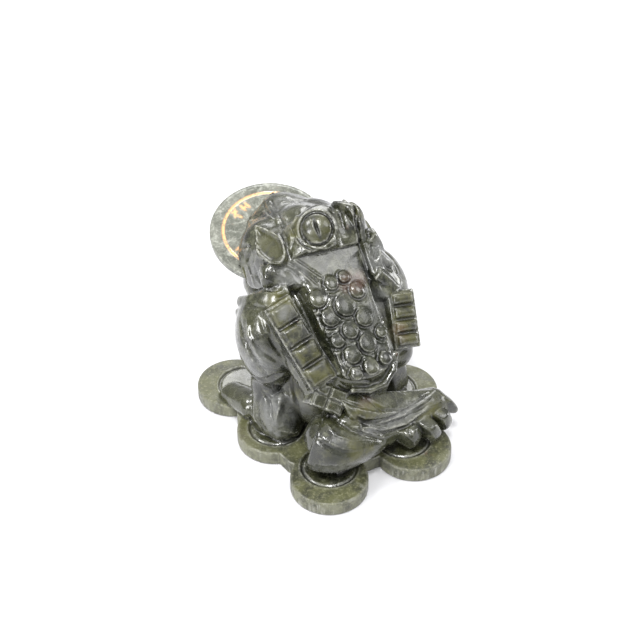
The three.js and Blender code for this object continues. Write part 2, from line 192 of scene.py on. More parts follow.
class Hoop:
    """A round ring, about the Z axis of its frame."""

    def __init__(self, matrix, radius, thickness):
        self.matrix = matrix
        self.radius = radius
        self.half = thickness / 2
        self.middle = np.array(matrix.translation)
        self.reach = radius + thickness

    def add(self, bm):
        made = bmesh.ops.create_circle(bm, segments=16, radius=self.half)
        bmesh.ops.rotate(bm, verts=made["verts"], cent=(0, 0, 0), matrix=Matrix.Rotation(math.pi / 2, 3, "X"))
        bmesh.ops.translate(bm, verts=made["verts"], vec=(self.radius, 0, 0))
        edges = list({e for v in made["verts"] for e in v.link_edges})
        before = set(bm.verts) - set(made["verts"])
        bmesh.ops.spin(
            bm, geom=made["verts"] + edges, cent=(0, 0, 0), axis=(0, 0, 1), angle=math.tau, steps=48,
            use_merge=True,
        )
        bmesh.ops.transform(bm, verts=[v for v in bm.verts if v not in before], matrix=self.matrix)

    def distance(self, points):
        local = to_local(self.matrix, points)
        return np.hypot(np.hypot(local[:, 0], local[:, 1]) - self.radius, local[:, 2]) - self.half


class Plate:
    """A flat plate with straight sides, from z = low to z = high."""

    def __init__(self, corners, low, high):
        self.corners = np.array(corners, float)
        self.low = low
        self.high = high
        self.middle = np.array((*self.corners.mean(axis=0), (low + high) / 2))
        self.reach = 70.0

    def add(self, bm):
        verts = [bm.verts.new((x, y, self.low)) for x, y in self.corners]
        face = bm.faces.new(verts)
        made = bmesh.ops.extrude_face_region(bm, geom=[face])
        moved = [g for g in made["geom"] if isinstance(g, bmesh.types.BMVert)]
        bmesh.ops.translate(bm, verts=moved, vec=(0, 0, self.high - self.low))

    def distance(self, points):
        flat = points[:, :2]
        nearest = np.full(len(points), np.inf)
        inside = np.zeros(len(points), bool)
        for a, b in zip(self.corners, np.roll(self.corners, -1, axis=0)):
            line = b - a
            local = flat - a
            share = np.clip(local @ line / (line @ line), 0, 1)
            nearest = np.minimum(nearest, length(local - share[:, None] * line))
            crosses = (a[1] > flat[:, 1]) != (b[1] > flat[:, 1])
            slope = line[0] / line[1] if line[1] else 0.0
            inside ^= crosses & (flat[:, 0] < a[0] + (flat[:, 1] - a[1]) * slope)
        side = np.where(inside, -nearest, nearest)
        up = np.maximum(points[:, 2] - self.high, self.low - points[:, 2])
        over = np.stack([side, up], axis=1)
        return outside(over)


class Gem:
    """A faceted lump: the hull of a few corners, with softened edges."""

    def __init__(self, corners, softness=0.5, matrix=None):
        self.corners = [matrix @ Vector(c) if matrix else Vector(c) for c in corners]
        self.softness = softness
        bm = bmesh.new()
        self.add(bm)
        bm.normal_update()
        planes = {}
        for face in bm.faces:
            offset = face.normal.dot(face.verts[0].co)
            planes.setdefault(tuple(round(n * 16) for n in face.normal), (*face.normal, offset))
        bm.free()
        self.planes = np.array(list(planes.values()))
        places = np.array(self.corners)
        self.middle = places.mean(axis=0)
        self.reach = float(np.linalg.norm(places - self.middle, axis=1).max())

    def add(self, bm):
        verts = [bm.verts.new(c) for c in self.corners]
        made = bmesh.ops.convex_hull(bm, input=verts)
        loose = {g for g in made["geom_interior"] + made["geom_unused"] if isinstance(g, bmesh.types.BMVert)}
        bmesh.ops.delete(bm, geom=list(loose), context="VERTS")
        faces = list({f for v in verts if v.is_valid for f in v.link_faces})
        bmesh.ops.recalc_face_normals(bm, faces=faces)

    def distance(self, points):
        each = points @ self.planes[:, :3].T - self.planes[:, 3]
        return self.softness * np.logaddexp.reduce(each / self.softness, axis=1)


def soft_min(a, b, blend):
    overlap = np.maximum(blend - np.abs(a - b), 0) / blend
    return np.minimum(a, b) - overlap * overlap * blend / 4


def near_distance(form, points, margin=8.0):
    """A form's distance, worked out closely only near the form."""
    rough = length(points - form.middle) - form.reach
    close = rough < margin
    found = np.maximum(rough, margin / 2)
    if close.any():
        found[close] = form.distance(points[close])
    return found


def whole_distance(layers, points):
    """The distance to the carving, after each layer of forms is added or cut in turn."""
    whole = np.full(len(points), 1e3)
    for kind, forms, within, blend in layers:
        near = np.full(len(points), 1e3)
        for form in forms:
            near = soft_min(near, near_distance(form, points), within)
        if kind == "add":
            whole = soft_min(whole, near, blend)
        else:
            whole = -soft_min(-whole, near, blend)
    return whole


# The forms of the toad and its bed

HEAD_TURN = math.radians(8)
HEAD_CENTRE = (-6.4, -8.0)


def on_head(x, y, z):
    c, s = math.cos(HEAD_TURN), math.sin(HEAD_TURN)
    return (x * c - y * s + HEAD_CENTRE[0], x * s + y * c + HEAD_CENTRE[1], z)


BACK_OUT = (0, 0.669, 0.743)  # the way that the flat of the back faces
RIDGE = (-3, 64.07)  # Y and height of the ridge behind the eyes


def on_back(x, down, out):
    """A place on the back: sideways, down from the ridge behind the eyes, and out from its flat."""
    _, lean, rise = BACK_OUT
    return (x, RIDGE[0] + rise * down + lean * out, RIDGE[1] - lean * down + rise * out)


def all_on_back(places):
    return [on_back(*place) for place in places]


def back_gem(places, softness):
    return Gem(all_on_back(places), softness)


def span_frame(start, end, facing):
    """A frame at one place with Y towards another, and how far away that is."""
    along = Vector(end) - Vector(start)
    return frame_at(start, along, facing), along.length


def lump(centre, radii, tilt=0.0):
    return Ball(Matrix.Translation(centre) @ Matrix.Rotation(math.radians(tilt), 4, "X"), radii)


def chain(places, start_radius, end_radius, width):
    """Round bars end to end."""
    steps = len(places) - 1
    radii = [start_radius + (end_radius - start_radius) * i / steps for i in range(steps + 1)]
    return [Bar(places[i], places[i + 1], radii[i], radii[i + 1], width) for i in range(steps)]


def torso():
    return [
        lump((0, 2, 18), (23, 20, 24)),
        lump((0, -8, 36), (22, 18, 21)),
        Bar((0, -7, 51), (0, 19, 31), 11.0, 9.5, 1.3),
        Bar((21.5, -3, 51), (16, 17, 28), 6.5, 6.5),
        Bar((-20.5, -1, 49), (-16, 17, 28), 6.5, 6.5),
    ]


def head():
    return [
        lump(on_head(0, -6, 57), (17, 15, 14)),
        lump(on_head(13.5, -7, 57), (9, 14, 12)),
        lump(on_head(-12, -7, 56), (9, 14, 11)),
        lump(on_head(8.2, -1.5, 67), (8.5, 9.5, 8.5)),
        lump(on_head(-6.5, -2, 65.5), (7, 9, 9)),
        lump(on_head(0, -17, 60), (9, 14, 9), 18),
        lump(on_head(9.5, -21, 53), (12, 13.5, 11.5)),
        lump(on_head(-9.5, -21, 53), (12, 13.5, 11.5)),
        lump(on_head(0.5, -32, 51), (11, 12, 9)),
        lump(on_head(0, -28, 40), (14, 13, 7)),
        lump(on_head(8, -18, 41), (14.5, 15, 9)),
        lump(on_head(-7, -18, 41), (13, 14, 8.5)),
    ]


def front_legs():
    forms = []
    for side in (1, -1):
        forms.append(lump((side * 23.5, -4, 36.5), (10.5, 12.5, 18), 12))
        forms.append(Bar((side * 24, -3, 18), (side * 23, 0, 1), 6.5, 7.5))
        forms.append(Bar((side * 24, -2, 3), (side * 26, -10, 1), 7, 5))
    return forms


def hind_leg():
    return [
        Bar((17, 26, 10), (-2, 31, 8), 9, 6),
        Bar((9, 26.5, 13), (-24, 30, 9), 8.0, 5.5),
    ]


# Crisp forms laid on the body

def shield():
    rim = [
        (12.2, -3.5, 0), (-12.6, 0.3, 0), (11.8, 12, 0.2), (-11.4, 12, 0.2), (11.8, 33, 0), (-9.8, 33, 0),
        (11.9, 40.5, -0.8), (-8.2, 42.0, -0.8), (9, 44.5, -2), (2, 46.0, -2.6), (-5, 45, -2.4),
    ]
    crown = [(1, 8, 0.9), (1.5, 28, 1.4), (2, 39, 0.6)]
    under = [(13.6, 0, -8), (-13.5, 0, -8), (13.2, 38, -8), (-9.6, 38, -8), (6, 41, -8), (-3, 41, -8)]
    return back_gem(rim + crown + under, 0.45)


def right_wall():
    """The slope from the right groove up to the right string of coins."""
    places = [
        (-12.6, 12, -6), (-20.8, 17.5, -2.2), (-13.6, 38.5, -3.8), (-9.6, 42, -7), (-24, 16, -6),
        (-19, 40, -8), (-12.6, 12, -10), (-9.6, 42, -10), (-17, 4, -4), (-23, 4, -9),
    ]
    return back_gem(places, 0.5)


def groove_floor():
    """Stone under the right groove's upper end."""
    return Bar(on_back(-16.6, 8, -5.2), on_back(-15.6, 19, -7.4), 4.4, 3.6)


def lips():
    """The upper lip and the flat top of the snout."""
    edge = [
        (20.6, -31, 51), (17.6, -36, 53), (12.6, -40.8, 55), (6.8, -45.6, 57.2), (2.4, -48.2, 58.6),
        (-3, -50.6, 60), (-7.0, -51.4, 60.9), (-12.2, -48.6, 61.2), (-18, -41.4, 60.2), (-21.2, -34.5, 58.6),
    ]
    top = [(9, -30, 63), (4, -37, 63.4), (-3, -43, 64.2), (-9, -42, 64.8), (-15, -33, 63.4), (2, -22, 68)]
    inner = [(12, -18, 55), (-18, -20, 56), (16, -28, 48.6), (-16, -30, 53), (3, -38, 52), (-8, -42, 54)]
    return Gem(edge + top + inner, 0.6)


def brow():
    return [
        Gem([
            (-0.5, -19.5, 71.5), (4.5, -17.5, 72.5), (8.5, -9, 73), (2, -12.5, 76.5), (-5, -17.5, 76),
            (-9.5, -15, 75.5), (-4, -6, 75), (9.8, -3.5, 69), (-10, -12, 66), (6, -14, 64), (-2, -20, 67),
        ], 0.7),
        Gem([
            (-12.9, -10, 77.6), (-15.6, -5.6, 77.6), (-17.4, -4.4, 72.4), (-14.8, -0.8, 71),
            (-12.2, -2.3, 74.5), (-10.8, -6.4, 77.4), (-19.5, -8, 71), (-19, -16, 69), (-13, -19, 73),
            (-9.5, -14, 76.2), (-16.5, 0, 62), (-11, -1, 62), (-20, -12, 62), (-8, -14, 64),
        ], 0.5),
    ]


def neck_sides():
    """Broad facets: from the flat behind the eyes to the left cheek, and beyond the right groove."""
    left = [
        (15.7, -4.7, -0.4), (12, -4.2, 0), (12, 8, 0), (16.4, 4.6, -0.6), (21, -3.4, -0.9), (24.2, 0.4, -2.6),
        (20, 3.4, -1.6), (15.2, 8, -2), (24, 3, -8), (12, 8, -8), (12, -5, -8), (22, -6, -8),
    ]
    cheek = [
        (20, -32, 49.5), (21, -22, 45), (20.6, -12, 50.0), (20, -4.6, 56.2), (17, -1.5, 58.6),
        (17.5, -6, 63.5), (17.8, -15, 64), (16.5, -25, 61.5), (16, -33, 56.5), (12, -36, 52), (8, -4, 55),
        (8, -25, 44), (5, -15, 62),
    ]
    right = [
        (-13.0, -1.6, 67.2), (-13.3, 3.2, 59.6), (-13.2, 8.6, 54.2), (-14.2, 13.5, 49.6), (-18.5, -2, 66.2),
        (-20.3, -2.3, 60.4), (-24, 0.5, 55.2), (-26.6, 4.2, 51.4), (-25.2, 9.5, 50), (-20, 13, 48.6),
        (-10, -4, 56), (-12, 6, 44), (-24, 0, 42), (-20, 10, 42),
    ]
    return [back_gem(left, 0.6), Gem(cheek, 0.8), Gem(right, 0.7)]


def locks():
    """Cut ridges on both cheeks, each of which ends in a point."""
    left = (0.85, 0.25, 0.45)
    right = (-0.5, 0.6, 0.6)
    far = (-0.9, 0.1, 0.4)
    return [
        claw((17.6, -17, 62), (20.4, -23, 47.5), 7.0, 1.3, 0.25, left),
        claw((17.6, -10, 62), (20.6, -13.5, 50.5), 6.5, 1.2, 0.25, left),
        claw((16.6, -25.5, 60), (19.8, -30.5, 50), 6.0, 1.2, 0.25, left),
        claw((-17.8, -2.5, 66), (-23.6, -0.5, 56), 7.0, 4.0, 0.4, right),
        claw((-17, 2.5, 60.5), (-25.6, 5.0, 51.2), 7.0, 4.0, 0.4, right),
        claw((-14.6, 6.5, 56.5), (-22.4, 10.8, 48.8), 6.0, 3.4, 0.5, right),
        claw((-16.5, -14, 64), (-23.5, -12, 50), 8.0, 7.0, 0.4, far),
        claw((-16.5, -23, 61), (-22.5, -24, 49), 7.5, 6.5, 0.4, far),
    ]


def band_along(places, width, height, facing):
    """A flat raised band with bevelled sides."""
    forms = []
    for start, end in zip(places[:-1], places[1:]):
        turn, run = span_frame(start, end, facing)
        corners = []
        for share, z in ((0.5, -2), (0.5, height * 0.4), (0.3, height)):
            corners += [(x * share * width, y, z) for x in (-1, 1) for y in (-0.4, run + 0.4)]
        forms.append(Gem(corners, 0.3, turn))
    return forms


def collar():
    line = [(17.6, 0.4, 58.2), (23.2, -3, 55.6), (27.0, -8.6, 51.8), (27.2, -15, 47.2)]
    lower = [(19.4, 1.4, 55.4), (25.6, -1.2, 52), (29.0, -7.6, 48), (29.4, -14, 44)]
    return band_along(line, 4.2, 1.6, (0.55, 0.45, 0.7)) + band_along(lower, 3.2, 0.9, (0.6, 0.5, 0.6))


def knee():
    return Gem([
        (19.5, 24.5, 21.6), (25.2, 29, 20.6), (23.6, 35.6, 18.2), (15.5, 38.9, 15.2), (6, 38.9, 12.2),
        (-3, 37.2, 8.6), (-7.5, 34.5, 5.6), (12, 34, 17.4), (17.5, 30.5, 20.6), (30.2, 30.2, 11),
        (28.6, 26.4, 1.6), (28.2, 33.6, 4.2), (22.5, 38.6, 4.6), (15, 40.4, 5), (6, 39.6, 4.6),
        (23.2, 38.8, 11), (15, 41.2, 9.6), (4, 40.2, 7.6), (21, 35.6, 1), (4, 35, 1), (16, 22, 14),
        (18, 20, 3), (0, 30, 4),
    ], 0.8)


def thigh_folds():
    """Long flat bands that run from the tassel to the foot."""
    return [
        Gem([
            (14, 27.5, 27.5), (13, 33, 23), (3, 34.6, 17.6), (-10, 35.4, 14.8), (-25, 34, 13.2),
            (-27, 29.6, 14.6), (-11, 29.6, 18.8), (0, 28, 21.6), (8, 25, 26), (10, 26, 12), (-22, 26, 8),
        ], 0.5),
        Gem([
            (12, 35.6, 18.8), (2, 36.8, 14.6), (-8, 37.2, 12), (-17, 36.8, 11.6), (-27.5, 34.4, 12.6),
            (-24, 36, 8.6), (-13, 37.6, 8.4), (-2, 37.8, 8.4), (8, 37, 8), (4, 30, 16), (-20, 28, 12),
            (-16, 30, 7),
        ], 0.45),
    ]


def claw(start, end, width, height, tip=0.35, facing=(0.1, 0.35, 0.93)):
    """A toe or a cut ridge of the cheek, with an edge along its back."""
    turn, run = span_frame(start, end, facing)
    w, h = width / 2, height / 2
    places = [
        (-w, 0, -h), (w, 0, -h), (-w, 0, h * 0.5), (w, 0, h * 0.5), (0, 0, h * 1.3),
        (-w * 1.15, run * 0.45, 0), (w * 1.15, run * 0.45, 0), (0, run * 0.5, h * 1.25), (0, run * 0.55, -h),
        (-w * tip, run, -h * 0.4), (w * tip, run, -h * 0.4), (0, run * 0.98, h * 0.35),
        (w * 0.75, run * 0.8, -h * 0.2), (-w * 0.75, run * 0.8, -h * 0.2),
    ]
    return Gem(places, 0.35, turn)


def toe(start, end, width, height):
    """A short square toe with a cut knuckle."""
    turn, run = span_frame(start, end, (0.05, 0.3, 0.95))
    w, h = width / 2, height / 2
    places = [
        (-w, 0, h * 0.9), (w, 0, h * 0.9), (-w, run * 0.62, h * 0.8), (w * 0.9, run * 0.56, h * 0.95),
        (-w * 0.9, run, -h * 0.1), (w * 0.75, run * 0.96, 0), (-w, run * 0.9, -h), (w, run * 0.84, -h),
        (-w, 0, -h), (w, 0, -h), (0.1 * w, run * 1.03, -h * 0.5), (-0.1 * w, run * 0.66, h * 1.15),
    ]
    return Gem(places, 0.25, turn)


def toes():
    forms = [
        toe((-6.8, 34.2, 8.4), (-10.8, 41.0, 6.0), 6.6, 7.5),
        toe((-14.6, 34.0, 8.2), (-18.8, 42.0, 4.4), 5.6, 7.0),
        toe((-21.0, 32.5, 8.6), (-26.0, 39.4, 4.6), 5.6, 7.0),
        claw((-26.4, 30.2, 9.4), (-32.0, 35.8, 5.6), 6.2, 7.4, 0.45),
    ]
    for side in (1, -1):
        forms.append(Bar((side * 27, -8, 4.5), (side * 28.6, -21.5, 0.6), 5.0, 4.2, 1.25))
        for spread in (-28, 0):
            angle = math.radians(spread)
            tip = (side * (25 + 13 * math.sin(angle)), -8 - 15.5 * math.cos(angle), 1.4)
            forms.append(claw((side * 25.5, -7, 5), tip, 7, 6.4))
    return forms


def paws():
    forms = []
    for side in (1, -1):
        places = [
            (28.4, -4, 17), (29.4, 2, 17), (25, 7.4, 18), (19, 8, 18), (17, 0, 18), (30.6, -6, 6),
            (31.8, 4.6, 1.2), (28.2, 11.4, 0.8), (28.6, 8.8, 9), (21.4, 12.6, 0.8), (22.2, 10.8, 9),
            (15, 8, 1), (17, -8, 1), (30, -10, 1.6), (24, -12, 3),
        ]
        forms.append(Gem([(side * x, y, z) for x, y, z in places], 0.45))
    return forms


def ear_frame(side):
    """The leaf of the ear: Y runs from its root to its tip."""
    if side > 0:
        return frame_at((15.9, -14.9, 67.4), (-0.16, -1, 0.05), (0.52, 0.28, 0.80)), 12.0, 5.4
    return frame_at((-21.2, -9.5, 62.5), (0.0, -1, 0.25), (-0.75, 0.25, 0.6)), 8.5, 5.0


def ear(side):
    turn, half, wide = ear_frame(side)
    outline = [
        (0, half), (wide * 0.7, half * 0.35), (wide, -half * 0.3), (wide * 0.62, -half * 0.9),
        (0, -half * 1.1), (-wide * 0.62, -half * 0.8), (-wide * 0.95, -half * 0.1),
        (-wide * 0.5, half * 0.62),
    ]
    places = [(x, y, 1.2) for x, y in outline] + [(x * 0.7, y * 0.7 - 1, -5) for x, y in outline]
    return Gem(places, 0.4, turn)


def ear_hollow(side):
    turn, half, wide = ear_frame(side)
    outline = [
        (0.1, half), (wide * 0.70, half * 0.35), (wide * 0.99, -half * 0.3), (wide * 0.62, -half * 0.95),
        (-wide * 0.55, -half * 0.84), (-wide * 0.9, -half * 0.09), (-wide * 0.47, half * 0.64),
    ]
    places = [(x, y, 3.2) for x, y in outline] + [(x * 0.95, y * 0.95, 0.9) for x, y in outline]
    places += [(x * 0.72 - wide * 0.1, y * 0.75, -0.9) for x, y in outline]
    return Gem(places, 0.4, turn)


EYE_SIZES = {1: 1.0, -1: 0.82}  # the left eye is the larger one


def eye_frame(side):
    if side > 0:
        return frame_at((2.1, -5.3, 73.9), (-0.04, -0.67, 0.736), (0.44, 0.58, 0.68))
    return frame_at((-18.6, -14.5, 67.5), (0, -1, 0.4), (-0.86, -0.22, 0.46))


def eye(side):
    turn = eye_frame(side)
    size = EYE_SIZES[side]
    lid = Matrix.Translation((0, 0, -0.5))
    return [Ball(turn, (5.3 * size, 5.3 * size, 3.1)), Hoop(turn @ lid, 6.3 * size, 1.3)]


def eye_seat(side):
    """The flat that the eye lies on."""
    size = EYE_SIZES[side]
    return Disc(eye_frame(side) @ Matrix.Translation((0, 0, 3.4)), 7.6 * size, 7.6, 0.6)


def pupil(side):
    turn = eye_frame(side)
    size = EYE_SIZES[side]
    outline = [(0, 4.7), (1.15, 0.4), (-1.15, 0.4), (0, -4.8), (0.8, -2.8), (-0.7, 2.9)]
    corners = [(x * size, y * size, 5) for x, y in outline]
    corners += [(x * size * 0.4, y * size * 0.8, 0.6) for x, y in outline]
    return Gem(corners, 0.2, turn)


STRING_LEFT = ((23.5, 3.3, 57), (17.5, 23.5, 33), (0.15, 0.76, 0.62))
STRING_RIGHT = ((-21.5, 11.5, 49), (-17, 23.5, 33), (-0.15, 0.76, 0.62))


def coin_string(top, bottom, facing):
    turn, run = span_frame(top, bottom, facing)
    width, depth, border, gap, blocks, height = 10.5, 7.0, 0.9, 1.1, 4, 2.1
    forms = [Slab(turn @ Matrix.Translation((0, run / 2, -depth / 2)), (width, run, depth), 0.5)]
    edge = Matrix.Translation((math.copysign(width / 2 - 0.3, top[0]), run / 2, 0.1))
    forms.append(Slab(turn @ edge, (0.8, run, 1.2), 0.3))
    pitch = (run - gap) / blocks
    for i in range(blocks):
        middle = pitch * (i + 0.5) + gap / 2
        w, l = width / 2 - border, (pitch - gap) / 2
        lean = (i % 2 - 0.5) * 0.5
        places = [(x * w, middle + y * l, -1) for x in (-1, 1) for y in (-1, 1)]
        places += [(x * (w - 0.2), middle + y * (l - 0.1), height * 0.62) for x in (-1, 1) for y in (-1, 1)]
        places += [(x * (w - 1.3) + lean, middle + y * (l - 1.0), height) for x in (-1, 1) for y in (-1, 1)]
        forms.append(Gem(places, 0.22, turn))
    return forms


def tassel():
    turn = frame_at((17.6, 24.8, 27.8), (-0.75, 0.35, -0.55), (0.25, 0.72, 0.64))
    forms = [Slab(turn @ Matrix.Translation((0, 1, -3)), (8.6, 12.5, 7), 0.4)]
    blocks = [(-2.4, -2.6, 3.2, 4.0), (1.9, -2.4, 4.2, 4.4), (-2.2, 3.4, 3.6, 5.6), (2.2, 3.4, 3.6, 5.4)]
    for x, y, w, l in blocks:
        forms.append(Slab(turn @ Matrix.Translation((x, y, 0.4)), (w, l, 1.6), 0.3))
    return forms


def rim_under_shield():
    places = [(8.5, 27.2, 28.6), (3, 29.6, 27.8), (-2.5, 30.2, 28.4), (-7, 28.6, 31), (-10, 25.2, 35)]
    return chain(places, 0.9, 1.2, 1.2)


# The warts' places across and down the back, and their sizes
WARTS = [
    (9.8, 13.4, 3.3), (3.0, 10.2, 2.6), (-2.4, 9.6, 2.2), (1.5, 19.0, 3.9), (-5.2, 15.6, 3.0),
    (8.4, 20.8, 3.4), (-3.4, 25.2, 3.3), (3.6, 27.4, 3.2), (9.4, 29.0, 2.7), (-0.6, 33.6, 3.4),
    (6.4, 35.4, 3.3), (-4.4, 40.6, 2.6), (2.0, 41.6, 3.0), (-7.4, 32.0, 2.3), (8.0, 41.8, 2.4),
]


def wart_frames():
    frames = []
    for x, down, size in WARTS:
        crown = 0.35 - 0.008 * (x - 1.5) ** 2 - 0.0012 * max(down - 28, 0) ** 2
        frames.append((frame_at(on_back(x, down, crown), (1, 0.1, 0), (x * 0.02, *BACK_OUT[1:])), size))
    return frames


def warts():
    """Low lumps of uneven outline, each a round and a smaller round beside it."""
    forms = []
    for i, (turn, size) in enumerate(wart_frames()):
        longer = 1.08 + 0.14 * math.sin(i * 2.3)
        forms.append(Ball(turn, (size * longer, size * 1.02, 1.35 + 0.2 * math.cos(i * 1.7))))
        beside = Matrix.Translation((size * 0.5 * math.cos(i * 2.1), size * 0.5 * math.sin(i * 2.1), -0.3))
        forms.append(Ball(turn @ beside, (size * 0.8, size * 0.75, 1.3)))
    return forms


BED_COIN_RADIUS = 13.6
BED_RINGS = ((9.6, 0.8, -0.6), (10.6, 0.7, 0.25))  # radius, half width and height
BED_COINS = [(24.9, -27.5), (25, 2), (22, 33.2), (-11.8, 36), (-26, 8.8), (-24, -20.5), (0.5, -37.5)]
BED_PLATE = [
    (32.9, -11.5), (30.1, 19.8), (20, 34), (6.1, 34.2), (-10, 36), (-24, 22), (-33, -5.5), (-15.5, -32),
    (14.5, -37),
]


def ring_middles():
    """The ring on each coin lies nearer to the toad than the coin's middle."""
    shifts = [4.6, 0.8, 4.6, 4.6, 4.6, 4.6, 4.6]
    return [np.array(c) * (1 - shift / math.hypot(*c)) for c, shift in zip(BED_COINS, shifts)]


def bed():
    forms = [Plate(BED_PLATE, -BED, 0)]
    for x, y in BED_COINS:
        forms.append(Disc(Matrix.Translation((x, y, -BED / 2)), BED_COIN_RADIUS, BED, 0.8))
    return forms


MOUTH_COIN_RADIUS, MOUTH_COIN_THICKNESS = 21.95, 3.2
MOUTH_SLOT_RADIUS, MOUTH_SLOT_WIDTH = 22.5, 3.9
PAINTED_RING, OUTER_GROOVE = 17, 21.2  # radii on the coin's face


def mouth_coin_frame():
    return frame_at((0.4, -39.5, 52.1), (0, -0.959, 0.283), (0.15, 0.28, 0.948))


def coin_marks():
    """Four groups of short strokes on the coin's face, in the coin's frame."""
    group = [
        ((-8.6, 13.6), (-6.0, 13.0)), ((-8.4, 10.6), (-6.2, 15.0)), ((-7.4, 12.2), (-5.8, 9.4)),
        ((-4.0, 15.4), (-3.2, 11.6)), ((-4.6, 13.2), (-1.4, 13.6)), ((-2.0, 15.6), (-1.2, 12.0)),
    ]
    marks = []
    for turn in range(4):
        c, s = math.cos(turn * math.pi / 2), math.sin(turn * math.pi / 2)
        for stroke in group:
            marks.append([(x * c - y * s, x * s + y * c, 1.6) for x, y in stroke])
    return marks


def cut_along(places, width, depth, facing):
    """Knife cuts along a line, each a thin wedge."""
    forms = []
    for start, end in zip(places[:-1], places[1:]):
        turn, run = span_frame(start, end, facing)
        w = width / 2
        corners = [(x * w, y, 2.5) for x in (-1.6, 1.6) for y in (-0.6, run + 0.6)]
        corners += [(x * w, y, 0) for x in (-1, 1) for y in (-0.6, run + 0.6)]
        corners += [(0.15 * x, y, -depth) for x in (-1, 1) for y in (0.2, run - 0.2)]
        forms.append(Gem(corners, 0.2, turn))
    return forms


def flat_behind_eyes():
    out = Vector(BACK_OUT)
    middle = Vector(on_back(3.4, 6.0, 0)) + out * 5
    return Slab(frame_at(middle, (0.139, 0.736, -0.6625), out), (33, 14.8, 10), 0.4)


def cuts():
    """What is taken away before the crisp details are laid on."""
    left_groove = [(15.6, 6, -1.6), (14.6, 15, -2.6), (13.9, 28, -4), (13.4, 40, -5)]
    right_groove_top = [(-13.2, -1, 0.2), (-12.8, 10, -0.8), (-12.3, 18, -2.2)]
    right_groove = [(-12.1, 18, -2.4), (-10.6, 30, -4), (-9.4, 41, -5)]
    beside_brow = [(-14.6, -9.8, 79), (-12.5, -3.2, 73), (-13.0, -0.4, 64)]
    forms = [flat_behind_eyes(), eye_seat(1), eye_seat(-1)]
    for places, width, depth, facing in (
        (all_on_back(left_groove), 2.4, 3.6, (-0.2, 0.65, 0.72)),
        (beside_brow, 1.1, 3.6, (0, 0.62, 0.78)),
        (all_on_back(right_groove_top), 0.9, 3.0, (0.1, 0.65, 0.72)),
        (all_on_back(right_groove), 2.0, 3.4, (0.1, 0.65, 0.72)),
    ):
        forms += cut_along(places, width, depth, facing)
    return forms


def last_cuts():
    forms = [ear_hollow(1), ear_hollow(-1), pupil(1), pupil(-1)]
    forms.append(Disc(mouth_coin_frame(), MOUTH_SLOT_RADIUS, MOUTH_SLOT_WIDTH, 0.2))
    return forms


def moss_on(points):
    """Where the stone shows its yellow-green: the blocks of the coin strings, the ears, the eyes and a few
    patches.
    """
    near = np.full(len(points), 9.0)
    blocks = coin_string(*STRING_LEFT)[2:] + coin_string(*STRING_RIGHT)[2:]
    for form in blocks:
        near = np.minimum(near, near_distance(form, points, 2.0))
    found = np.clip(0.9 - near / 0.8, 0, 0.75)
    for form in [ear(1), ear(-1)] + eye(1)[:1] + eye(-1)[:1]:
        found = np.maximum(found, np.clip(0.9 - near_distance(form, points, 2.0) / 0.8, 0, 0.4))
    return np.maximum(found, patches_on(points, MOSS_PATCHES))


def margin_on(points):
    """The duller olive outer margin of each coin of the bed; inside the rings, nearer the toad, the bed is
    left darker as painted shade.
    """
    away = np.min([length(points[:, :2] - middle) for middle in ring_middles()], axis=0)
    return np.clip((away - 9.4) / 1.6, 0.15, 1)


def patches_on(points, patches):
    """Soft-edged patches, 1 in their middles."""
    found = np.zeros(len(points))
    for middle, radii in patches:
        away = near_distance(lump(middle, radii), points, 6.0)
        found = np.maximum(found, np.clip(0.5 - away / 2.5, 0, 1))
    return found


MOSS_PATCHES = [
    ((19, 37.8, 13.3), (7.4, 5.2, 3.4)), ((12.5, 39.6, 10.6), (5.6, 4.0, 1.8)), ((19, 11, 14), (5, 5, 4)),
    ((6, 32, 21), (7, 4, 3)), ((19, 9, 22), (5, 4, 8)), ((16, -30, 47), (6, 6, 3)), ((22, 2, 56), (4, 5, 3)),
    ((-20, 33, 10), (8, 4, 4)), ((6, -12, 72), (6, 5, 4)), ((-16, -6, 74), (4, 5, 4)),
]
# Painted sheen: grey patches where the polished stone reflects the bright surroundings.
PAINTED_SHEEN_PATCHES = [
    ((27, 8, 12), (6, 6, 10)), ((24, 37, 5.5), (8, 6, 3.2)), ((12, 39.5, 6), (9, 4, 2.6)),
    ((-6, 35, 15), (17, 4, 2.6)), ((20, -12, 54), (5, 9, 5)), ((31, 2, 34), (4, 6, 7)),
    ((19, 24, 10), (4, 4, 6)), ((-18, 4, 60), (6, 6, 4)), ((-4, -36, 66), (8, 8, 4)),
    ((-12, 12, 48), (4, 8, 4)), ((14.5, -1.5, 62), (6, 4, 4)), ((18, 12, 14), (4, 4, 7)),
    ((23, 8, 54.6), (3, 4, 2.5)),
]
# Painted shade, partly darker stone: darker, less glossy patches on the lower back, beside the grooves, on
# the knee and under the foot.
PAINTED_SHADE_PATCHES = [
    (on_back(1, 29, 0), (10.5, 13, 10)), (on_back(14, 22, -3), (2.5, 11, 12)), ((-15, 1, 64), (2.2, 5, 7)),
    ((19, 37.8, 13.3), (7.0, 5.0, 3.2)), ((-6, 38, 8), (12, 4, 2.4)), ((-13, 24, 32), (3, 4, 9)),
    ((14, 12, 26), (3.6, 5, 8)),
]
RUST_PATCHES = [
    ((-5, 7, 57), (6, 4, 4)), ((-15, 20.5, 38.5), (3, 3, 3.5)), ((36.2, -1.7, 0), (2.6, 4, 1.5)),
    ((4, 31, 24), (4, 3, 1.5)),
]


